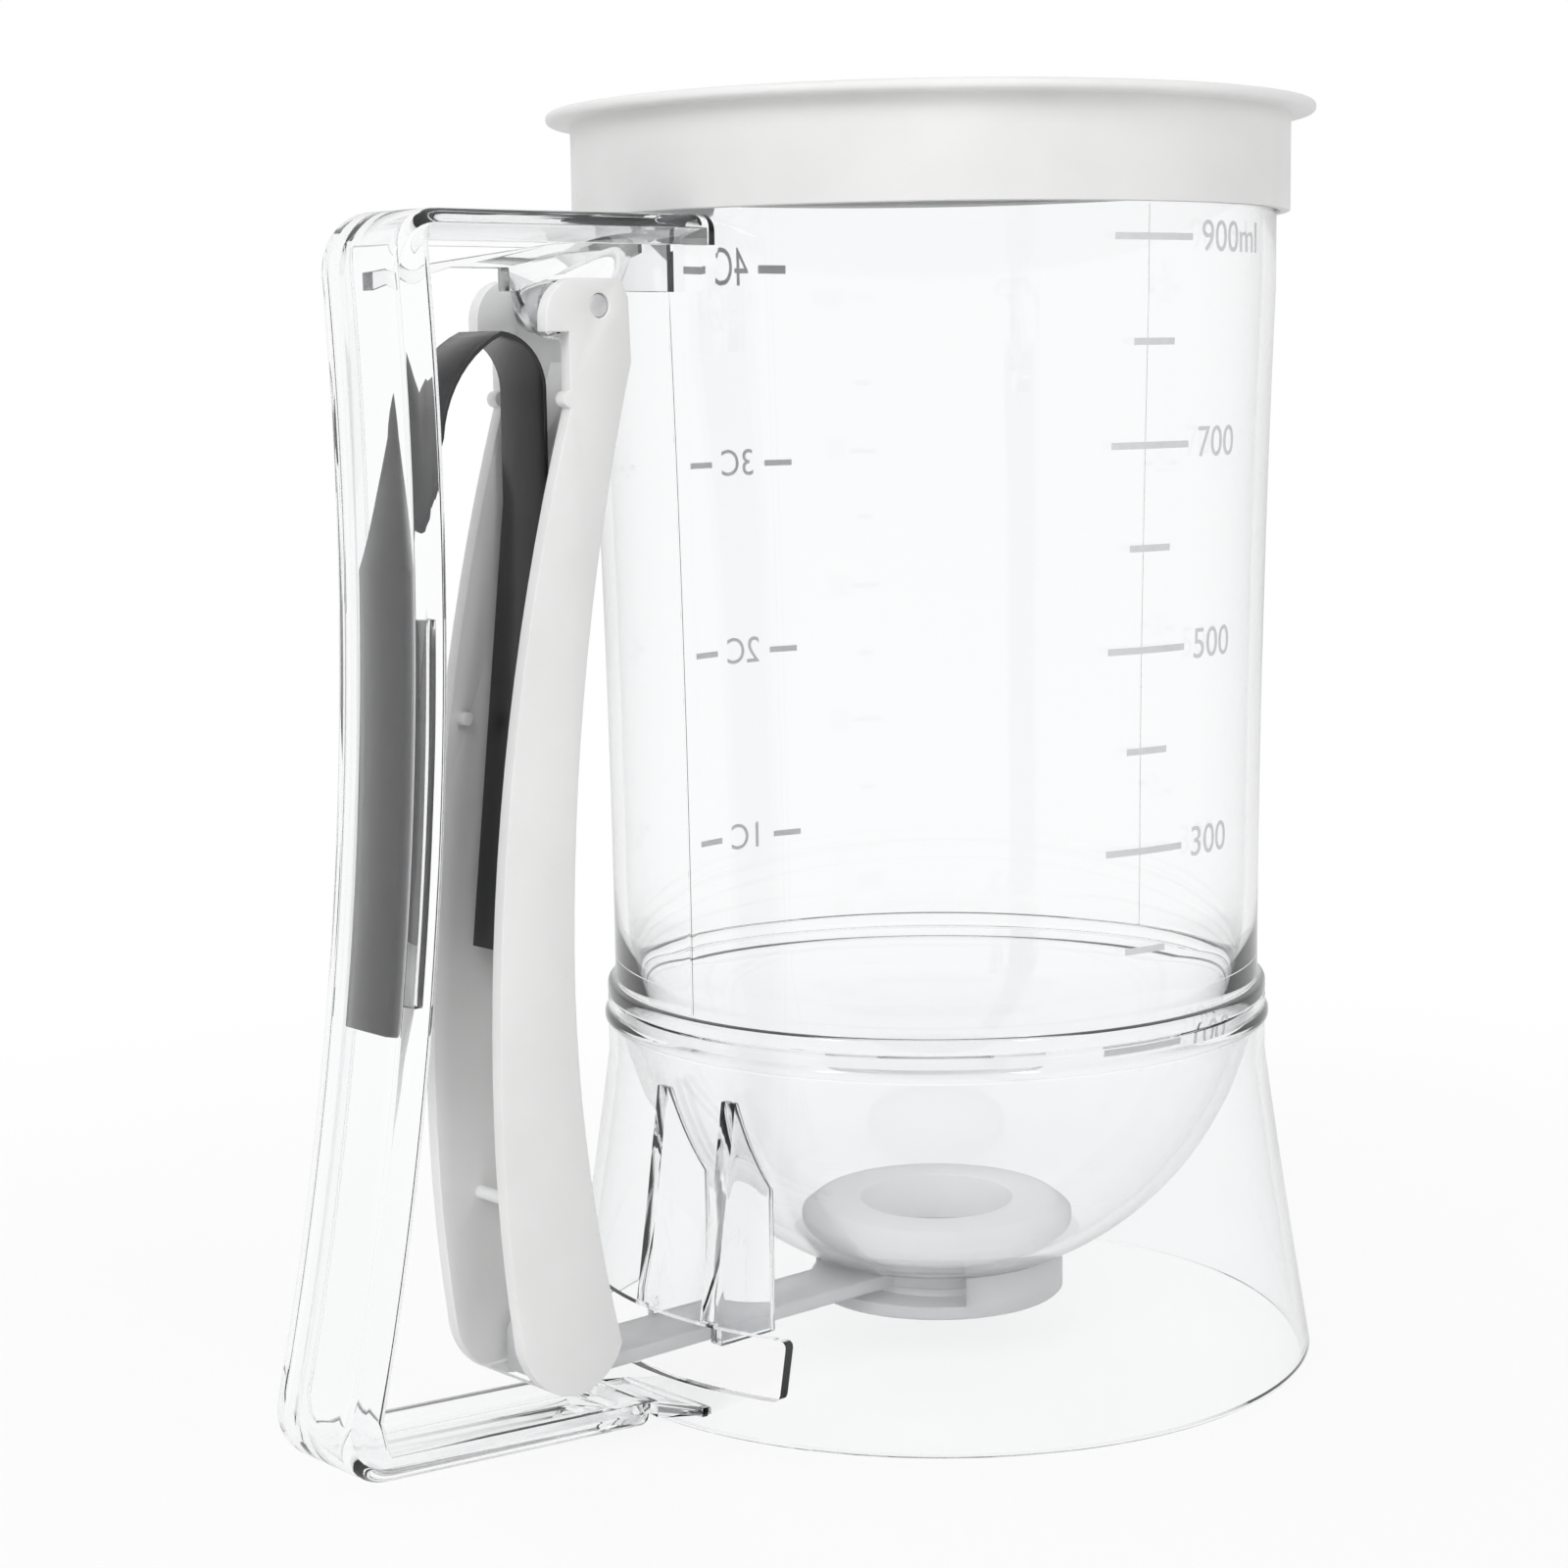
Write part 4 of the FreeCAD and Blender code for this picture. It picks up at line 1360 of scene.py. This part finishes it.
@dataclass
class Lid:
    """The white lift-off lid with its rounded flange, skirt and plug ring."""

    axis_x: float
    flange_radius: float = 56.6 * MM
    skirt_radius: float = 53.0 * MM
    skirt_low: float = 170.8 * MM
    top: float = 186.4 * MM
    plate: float = 1.5 * MM
    bore: float = 51.25 * MM
    plug_radius: float = 48.75 * MM
    plug_wall: float = 1.3 * MM
    plug_height: float = 5.0 * MM
    rounding: float = 0.7 * MM
    rounding_points: int = 6
    edge: float = 0.3 * MM
    turns: int = 192

    def _profile(self) -> List[Point]:
        """Section of the lid from its middle out over the flange and back under the plate.

        Returns:
            Radius and height of each corner.
        """
        under = self.top - self.plate
        rim = self.rounding
        small, count = self.edge, self.rounding_points
        top_edge = arc((self.flange_radius - rim, self.top - rim), rim, 90.0, 0.0, count)
        low_edge = arc((self.flange_radius - rim, under + rim), rim, 0.0, -90.0, count)
        skirt = [
            (self.skirt_radius + 2 * small, under),
            (self.skirt_radius + 0.5 * small, under - 0.5 * small),
            (self.skirt_radius, under - 2 * small),
            (self.skirt_radius, self.skirt_low + small),
            (self.skirt_radius - 0.3 * small, self.skirt_low + 0.3 * small),
            (self.skirt_radius - small, self.skirt_low),
            (self.bore + small, self.skirt_low),
            (self.bore, self.skirt_low + small),
            (self.bore, under),
        ]
        plug_inner = self.plug_radius - self.plug_wall
        plug = [
            (self.plug_radius, under),
            (self.plug_radius, under - self.plug_height + 2 * small),
            (self.plug_radius - small, under - self.plug_height),
            (plug_inner + small, under - self.plug_height),
            (plug_inner, under - self.plug_height + small),
            (plug_inner, under),
        ]
        return [(0.0, self.top)] + top_edge + low_edge + skirt + plug + [(0.0, under)]

    def build(self, finishes: Finishes) -> bpy.types.Object:
        """Spin the lid and dress it.

        Args:
            finishes: The object's materials.

        Returns:
            The white lid.
        """
        lid = turned("lid_shell", self._profile(), self.axis_x, self.turns)
        smooth(lid, 35.0)
        dress(lid, finishes.white)
        settle(lid, Body.LID, ["lid"])
        return lid


@dataclass
class SqueezeLever:
    """The white lever."""

    edge: float = 0.55 * MM

    def build(self, finishes: Finishes) -> bpy.types.Object:
        """Round the lever's edges and dress it.

        Args:
            finishes: The object's materials.

        Returns:
            The white lever.
        """
        lever = copy_of_node("squeeze_lever", "lever_shell")
        round_edges(lever, self.edge, 3)
        smooth(lever)
        dress(lever, finishes.white)
        settle(lever, Body.LEVER, ["squeeze_lever"])
        return lever


@dataclass
class ReturnSpring:
    """The bent steel strip, which bends between the grip's leg and the lever's leg."""

    axis_x: float
    width: float = 9.5 * MM
    thickness: float = 0.6 * MM
    grip_waist: float = 101.9 * MM
    grip_curve: float = 480.0 * MM
    grip_middle: float = 130.0 * MM
    inward: float = 2.6 * MM
    leg_foot: float = 64.0 * MM
    leg_top: float = 124.0 * MM
    grip_leave: Point = (-95.9 * MM, 134.2 * MM)
    shoulder: Point = (-93.4 * MM, 141.0 * MM)
    shoulder_bend: float = 16.0 * MM
    crown: Point = (-83.4 * MM, 154.3 * MM)
    crown_bend: float = 7.6 * MM
    drop: Point = (-76.6 * MM, 147.2 * MM)
    leg_high: Point = (-76.6 * MM, 132.0 * MM)
    leg_low: Point = (-83.7 * MM, 72.0 * MM)
    grip_points: int = 14
    bow_points: int = 10
    leg_points: int = 8
    edge: float = 0.14 * MM
    bend_start: Point = (-94.0 * MM, 135.6 * MM)
    bend_end: Point = (-77.2 * MM, 133.6 * MM)

    def _grip_leg(self) -> List[Point]:
        """Points of the leg that lies along the grip's web, from its foot up.

        Returns:
            The leg's points.
        """
        curve = self.grip_curve + self.inward
        points = []
        for index in range(self.grip_points + 1):
            height = self.leg_foot + (self.leg_top - self.leg_foot) * index / self.grip_points
            sag = math.sqrt(curve ** 2 - (height - self.grip_middle) ** 2)
            points.append((sag - self.grip_waist - self.grip_curve, height))
        return points

    def _path(self) -> List[Point]:
        """Middle line of the strip from the grip leg's foot over the arch to the far tip.

        Returns:
            The line's points.
        """
        path = self._grip_leg() + [self.grip_leave, self.shoulder]
        path += bend(self.shoulder, self.crown, self.shoulder_bend, self.bow_points, -1.0)
        path += bend(self.crown, self.drop, self.crown_bend, self.bow_points, -1.0)
        high, low = self.leg_high, self.leg_low
        path.append(high)
        for index in range(1, self.leg_points + 1):
            share = index / self.leg_points
            path.append(tuple(start + (end - start) * share for start, end in zip(high, low)))
        return path

    def build(self, finishes: Finishes) -> bpy.types.Object:
        """Draw the strip's middle line, widen it, thicken it, round its edges and dress it.

        Args:
            finishes: The object's materials.

        Returns:
            The spring.
        """
        points = [(self.axis_x + x, -self.width / 2, z) for x, z in self._path()]
        spring = draw_chain("leaf_spring", points, False)
        widen(spring, self.width)
        apply_modifier(spring, "gauge", "SOLIDIFY", {"thickness": self.thickness, "offset": 0.0})
        round_edges(spring, self.edge, 2, 50.0)
        smooth(spring, 40.0)
        dress(spring, finishes.spring)
        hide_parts("return_spring")
        start = (self.axis_x + self.bend_start[0], 0.0, self.bend_start[1])
        end = (self.axis_x + self.bend_end[0], 0.0, self.bend_end[1])
        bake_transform(spring)
        log.info("%s: %d faces", spring.name, len(spring.data.polygons))
        return spring


@dataclass
class Valve:
    """The slide with its round gate, the ring that guides it and the soft seat above."""

    axis_x: float
    outlet: float = 11.75 * MM
    ring_radius: float = 19.5 * MM
    ring_wall: float = 2.0 * MM
    ring_low: float = 7.6 * MM
    ring_ledge: float = 9.6 * MM
    lip_top: float = 10.9 * MM
    floor_height: float = 14.0 * MM
    mouth_half: float = 16.5 * MM
    seat_neck: float = 13.5 * MM
    seat_low: float = 13.6 * MM
    seat_floor: float = 15.8 * MM
    seat_floor_radius: float = 18.6 * MM
    seat_radius: float = 21.2 * MM
    seat_shoulder: float = 17.2 * MM
    seat_bevel: float = 19.4 * MM
    seat_top_radius: float = 18.5 * MM
    seat_top: float = 21.3 * MM
    seat_room: float = 0.05 * MM
    edge: float = 0.3 * MM
    turns: int = 144
    keeper_turns: int = 96

    def _ring(self) -> bpy.types.Object:
        """Ring under the floor, with a ledge, a lip round the outlet and a mouth for the slide.

        Returns:
            The ring.
        """
        inner = self.ring_radius - self.ring_wall
        lip = self.outlet + self.ring_wall
        small = self.edge
        profile = [
            (self.outlet + small, self.ring_low),
            (self.ring_radius - small, self.ring_low),
            (self.ring_radius, self.ring_low + small),
            (self.ring_radius, self.floor_height),
            (inner, self.floor_height),
            (inner, self.ring_ledge),
            (lip, self.ring_ledge),
            (lip, self.lip_top - small),
            (lip - small, self.lip_top),
            (self.outlet + small, self.lip_top),
            (self.outlet, self.lip_top - small),
            (self.outlet, self.ring_low + small),
        ]
        ring = turned("outlet_ring", profile, self.axis_x, self.turns)
        depth = math.sqrt(inner ** 2 - self.mouth_half ** 2)
        left, high = -self.ring_radius - self.ring_wall, self.floor_height + self.ring_wall
        mouth = oblong(left, -depth, self.ring_ledge, high)
        block = slab("mouth_cutter", mouth, self.axis_x, 2 * self.mouth_half)
        above = self.floor_height + 2 * self.ring_wall
        section = oblong(self.outlet / 2, lip + small, self.ring_ledge / 2, above)
        keep = turned("lip_keeper", section, self.axis_x, self.keeper_turns)
        carve(block, keep)
        carve(ring, block)
        return ring

    def _seat(self) -> bpy.types.Object:
        """Soft seat with a neck through the floor and a bevelled flange in the bowl.

        Returns:
            The seat.
        """
        small = self.edge
        profile = [
            (self.outlet, self.seat_low + small),
            (self.outlet + small, self.seat_low),
            (self.seat_neck - self.seat_room, self.seat_low),
            (self.seat_neck - self.seat_room, self.seat_floor + self.seat_room),
            (self.seat_floor_radius, self.seat_floor + self.seat_room),
            (self.seat_radius - small, self.seat_shoulder - small),
            (self.seat_radius, self.seat_shoulder + small),
            (self.seat_radius, self.seat_bevel - 2 * small),
            (self.seat_radius - 0.4 * small, self.seat_bevel - 0.6 * small),
            (self.seat_radius - 1.6 * small, self.seat_bevel + 0.6 * small),
            (self.seat_top_radius + 1.4 * small, self.seat_top - 0.9 * small),
            (self.seat_top_radius, self.seat_top - 0.2 * small),
            (self.seat_top_radius - 2 * small, self.seat_top),
            (self.outlet + 1.6 * small, self.seat_top),
            (self.outlet + 0.4 * small, self.seat_top - 0.4 * small),
            (self.outlet, self.seat_top - 1.6 * small),
        ]
        return turned("soft_seat", profile, self.axis_x, self.turns)

    def build(self, finishes: Finishes) -> List[bpy.types.Object]:
        """Make the three pieces and dress them.

        Args:
            finishes: The object's materials.

        Returns:
            The slide, the ring and the seat.
        """
        slide = copy_of_node("slide_valve", "slide_plate")
        round_edges(slide, self.edge)
        plan = [
            (slide, "slide_valve", finishes.milky, Body.SLIDE, "milky_plastic"),
            (self._ring(), "nozzle_ring", finishes.milky, Body.JUG, "milky_plastic"),
            (self._seat(), "valve_seat", finishes.silicone, Body.JUG, "silicone"),
        ]
        for piece, node, finish, body, slot in plan:
            smooth(piece)
            dress(piece, finish)
            settle(piece, body, [node])
        return [row[0] for row in plan]


@dataclass
class Scale:
    """The printed volume marks: millilitres on the near wall and cups on the far wall."""

    axis_x: float
    wall_radius: float = 51.0 * MM
    stand_off: float = 6.0 * MM
    lift: float = 1.0012
    ink_depth: float = 0.03 * MM
    near_angle: float = 262.0
    far_angle: float = 85.5
    first_height: float = 53.7 * MM
    full_height: float = 166.2 * MM
    first_volume: int = 100
    full_volume: int = 900
    long_mark: float = 13.8 * MM
    short_mark: float = 7.2 * MM
    mark_height: float = 0.95 * MM
    digit_size: float = 6.1 * MM
    digit_gap: float = 1.8 * MM
    cup_heights: Tuple[float, ...] = (72.3 * MM, 103.0 * MM, 133.6 * MM, 164.0 * MM)
    cup_dash: float = 5.2 * MM
    cup_reach: float = 8.2 * MM
    bar_cuts: int = 7
    letter_cuts: int = 2
    letter_steps: int = 4

    def _level(self, volume: int) -> float:
        """Height of a volume's mark."""
        share = (volume - self.first_volume) / (self.full_volume - self.first_volume)
        return self.first_height + (self.full_height - self.first_height) * share

    def _bar(self, middle: float, height: float, length: float) -> bpy.types.Object:
        """One flat printed bar in front of the wall.

        Args:
            middle: Place of its middle across the wall.
            height: Height of its middle.
            length: Its length.

        Returns:
            The bar.
        """
        deselect_all()
        bpy.ops.mesh.primitive_plane_add(size=1.0, location=(0.0, 0.0, 0.0))
        bar = bpy.context.active_object
        bpy.ops.object.mode_set(mode="EDIT")
        bpy.ops.mesh.select_all(action="SELECT")
        bpy.ops.mesh.subdivide(number_cuts=self.bar_cuts)
        bpy.ops.transform.resize(value=(length, self.mark_height, 1.0))
        bpy.ops.object.mode_set(mode="OBJECT")
        self._stand_up(bar, middle, height)
        return bar

    def _words(self, text: str, start: float, height: float, align: str) -> bpy.types.Object:
        """One printed number in front of the wall.

        Args:
            text: What it says.
            start: Place across the wall where it is aligned.
            height: Height of its middle.
            align: Which part of it stands at that place.

        Returns:
            The letters as a mesh.
        """
        deselect_all()
        bpy.ops.object.text_add(location=(0.0, 0.0, 0.0))
        words = bpy.context.active_object
        words.data.body = text
        words.data.size = self.digit_size
        words.data.align_x = align
        words.data.align_y = "CENTER"
        words.data.resolution_u = self.letter_steps
        bpy.ops.object.convert(target="MESH")
        words = bpy.context.active_object
        bpy.ops.object.mode_set(mode="EDIT")
        bpy.ops.mesh.select_all(action="SELECT")
        bpy.ops.mesh.remove_doubles(threshold=MERGE_GAP)
        bpy.ops.mesh.quads_convert_to_tris()
        bpy.ops.mesh.subdivide(number_cuts=self.letter_cuts)
        bpy.ops.object.mode_set(mode="OBJECT")
        self._stand_up(words, start, height)
        return words

    def _stand_up(self, piece: bpy.types.Object, across: float, height: float) -> None:
        """Turn a flat print upright and set it in front of the wall.

        Args:
            piece: Flat mark or number.
            across: Its place across the wall.
            height: Its height.
        """
        place = Vector((self.axis_x + across, -self.wall_radius - self.stand_off, height))
        upright = Matrix.Translation(place) @ Matrix.Rotation(math.radians(90.0), 4, "X")
        piece.data.transform(upright)

    def _wrap(self, name: str, prints: Sequence[bpy.types.Object], jug: bpy.types.Object,
              angle: float, finishes: Finishes) -> bpy.types.Object:
        """Join prints, lay them on the wall and turn them to their side.

        Args:
            name: Name of the finished print.
            prints: Flat marks and numbers.
            jug: The wall they lie on.
            angle: Direction of the middle of the print, in degrees from +X.
            finishes: The object's materials.

        Returns:
            The finished print.
        """
        deselect_all()
        for piece in prints:
            piece.select_set(True)
        bpy.context.view_layer.objects.active = prints[0]
        bpy.ops.object.join()
        joined = bpy.context.active_object
        joined.name = name
        joined.data.name = name
        settings = {
            "wrap_method": "PROJECT",
            "use_project_y": True,
            "use_positive_direction": True,
            "use_negative_direction": False,
            "target": jug,
        }
        apply_modifier(joined, "laid_on_wall", "SHRINKWRAP", settings)
        to_axis = Matrix.Translation((-self.axis_x, 0.0, 0.0))
        spread = Matrix.Diagonal((self.lift, self.lift, 1.0, 1.0))
        turn = Matrix.Rotation(math.radians(angle - FRONT_ANGLE), 4, "Z")
        joined.data.transform(to_axis.inverted() @ turn @ spread @ to_axis)
        gauge = {"thickness": self.ink_depth, "offset": 1.0}
        apply_modifier(joined, "ink_depth", "SOLIDIFY", gauge)
        dress(joined, finishes.ink)
        settle(joined, Body.JUG)
        return joined

    def build(self, jug: bpy.types.Object, finishes: Finishes) -> List[bpy.types.Object]:
        """Print both scales.

        Args:
            jug: The clear jug that carries them.
            finishes: The object's materials.

        Returns:
            The near and the far print.
        """
        near = []
        for volume in range(self.first_volume, self.full_volume + 1, self.first_volume):
            odd = volume // self.first_volume % 2 == 1
            length = self.long_mark if odd else self.short_mark
            level = self._level(volume)
            near.append(self._bar(0.0, level, length))
            if odd:
                unit = "ml" if volume == self.full_volume else ""
                start = self.long_mark / 2 + self.digit_gap
                near.append(self._words("%d%s" % (volume, unit), start, level, "LEFT"))
        far = []
        for cups, level in enumerate(self.cup_heights, start=1):
            for side in (-1.0, 1.0):
                far.append(self._bar(side * self.cup_reach, level, self.cup_dash))
            far.append(self._words("%dC" % cups, 0.0, level, "CENTER"))
        return [
            self._wrap("millilitre_scale", near, jug, self.near_angle, finishes),
            self._wrap("cup_scale", far, jug, self.far_angle, finishes),
        ]


@dataclass
class PivotPin:
    """The steel pin with chamfered ends."""

    edge: float = 0.3 * MM

    def build(self, finishes: Finishes) -> bpy.types.Object:
        """Chamfer the pin's ends and dress it.

        Args:
            finishes: The object's materials.

        Returns:
            The pin.
        """
        pin = copy_of_node("pivot_pin", "lever_pin")
        round_edges(pin, self.edge, 2, 60.0)
        smooth(pin, 40.0)
        dress(pin, finishes.pin)
        settle(pin, Body.JUG, ["pivot_pin"])
        return pin


@dataclass(frozen=True)
class SoftBox:
    """One rectangular lamp, seen at most in mirrored light."""

    name: str
    place: Tuple[float, float, float]
    size: Point
    power: float
    mirrored: bool = False

    def hang(self, aim: Sequence[float]) -> None:
        """Hang the lamp and turn it to a point.

        Args:
            aim: Point that it lights.
        """
        data = bpy.data.lights.new(self.name, "AREA")
        data.shape = "RECTANGLE"
        data.size, data.size_y = self.size
        data.energy = self.power
        lamp = bpy.data.objects.new(self.name, data)
        bpy.context.scene.collection.objects.link(lamp)
        lamp.location = self.place
        lamp.rotation_mode = "QUATERNION"
        lamp.rotation_quaternion = (Vector(aim) - Vector(self.place)).to_track_quat("-Z", "Y")
        lamp.visible_glossy = self.mirrored
        lamp.visible_camera = False
        lamp.visible_transmission = False


@dataclass
class Studio:
    """Camera, lights, floor and world."""

    axis_x: float
    camera_place: Tuple[float, float, float] = (-327.0 * MM, -327.0 * MM, 150.48 * MM)
    looks_along: Tuple[float, float, float] = (0.66502776, 0.73401502, -0.1376954)
    looks_right: Tuple[float, float, float] = (0.739687, -0.67280418, -0.01405988)
    focal_pixels: float = 3120.84
    image_pixels: float = 1600.0
    sensor: float = 36.0
    floor_radius: float = 3.0
    floor_inset: float = 1.2
    floor_sides: int = 96
    sky_strength: float = 0.55
    aim_share: float = 0.4
    aim_height: float = 90.0 * MM
    lamps: Tuple[SoftBox, ...] = (
        SoftBox("key_box", (-0.75, -0.35, 0.75), (0.5, 0.5), 3.6),
        SoftBox("fill_box", (0.55, -0.75, 0.5), (0.5, 0.7), 1.0),
        SoftBox("back_box", (0.25, 0.85, 0.6), (0.7, 0.4), 2.6),
        SoftBox("window_left", (-0.62, -0.1, 0.42), (0.1, 0.3), 0.6, True),
        SoftBox("window_right", (-0.12, -0.62, 0.42), (0.1, 0.3), 0.6, True),
    )

    def _add_camera(self) -> None:
        """Set up the camera at the photograph's place and angle."""
        data = bpy.data.cameras.new("studio_camera")
        data.sensor_width = self.sensor
        data.lens = self.focal_pixels / self.image_pixels * self.sensor
        data.clip_start, data.clip_end = 0.01, 20.0
        camera = bpy.data.objects.new("studio_camera", data)
        bpy.context.scene.collection.objects.link(camera)
        forward, right = Vector(self.looks_along), Vector(self.looks_right)
        up = right.cross(forward)
        turn = Matrix((right, up, -forward)).transposed().to_4x4()
        x, y, z = self.camera_place
        camera.matrix_world = Matrix.Translation((x + self.axis_x, y, z)) @ turn
        bpy.context.scene.camera = camera

    def _add_floor(self) -> None:
        """Lay a wide round floor whose edge is out of sight."""
        deselect_all()
        bpy.ops.mesh.primitive_circle_add(
            vertices=self.floor_sides,
            radius=self.floor_radius,
            fill_type="NGON",
            location=(0.0, 0.0, 0.0),
        )
        floor = bpy.context.active_object
        floor.name = "studio_floor"
        bpy.ops.object.mode_set(mode="EDIT")
        bpy.ops.mesh.select_all(action="SELECT")
        bpy.ops.mesh.inset(thickness=self.floor_inset)
        bpy.ops.object.mode_set(mode="OBJECT")
        dress(floor, StudioFloor().make())

    def _add_world(self) -> None:
        """Fill the world with plain light that looks white to the camera and through plastic."""
        sky = Paint("studio_world", bpy.data.worlds.new("studio_world"))
        bpy.context.scene.world = sky.material
        inputs = {"Color": WHITE, "Strength": self.sky_strength}
        plain = sky.node("ShaderNodeBackground", {}, inputs)
        white = sky.node("ShaderNodeBackground", {}, {"Color": WHITE, "Strength": 1.0})
        sky.finish(sky.mix_surfaces(sky.backdrop_share(), plain, white))

    def build(self) -> None:
        """Set up the whole studio."""
        bpy.context.scene.view_settings.view_transform = "Standard"
        self._add_camera()
        self._add_floor()
        self._add_world()
        aim = (self.axis_x * self.aim_share, 0.0, self.aim_height)
        for lamp in self.lamps:
            lamp.hang(aim)
        log.info("studio ready")


def main() -> None:
    """Build the object and its studio."""
    logging.basicConfig(level=logging.INFO, format="%(message)s")
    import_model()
    low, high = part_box("container")
    axis_x = (low.x + high.x) / 2
    finishes = Finishes.make()
    jug = ClearJug(axis_x).build(finishes)
    FlaredFoot(axis_x).build(finishes)
    Scale(axis_x).build(jug, finishes)
    Lid(axis_x).build(finishes)
    SqueezeLever().build(finishes)
    ReturnSpring(axis_x).build(finishes)
    Valve(axis_x).build(finishes)
    PivotPin().build(finishes)
    Studio(axis_x).build()


if __name__ == "__main__":
    main()
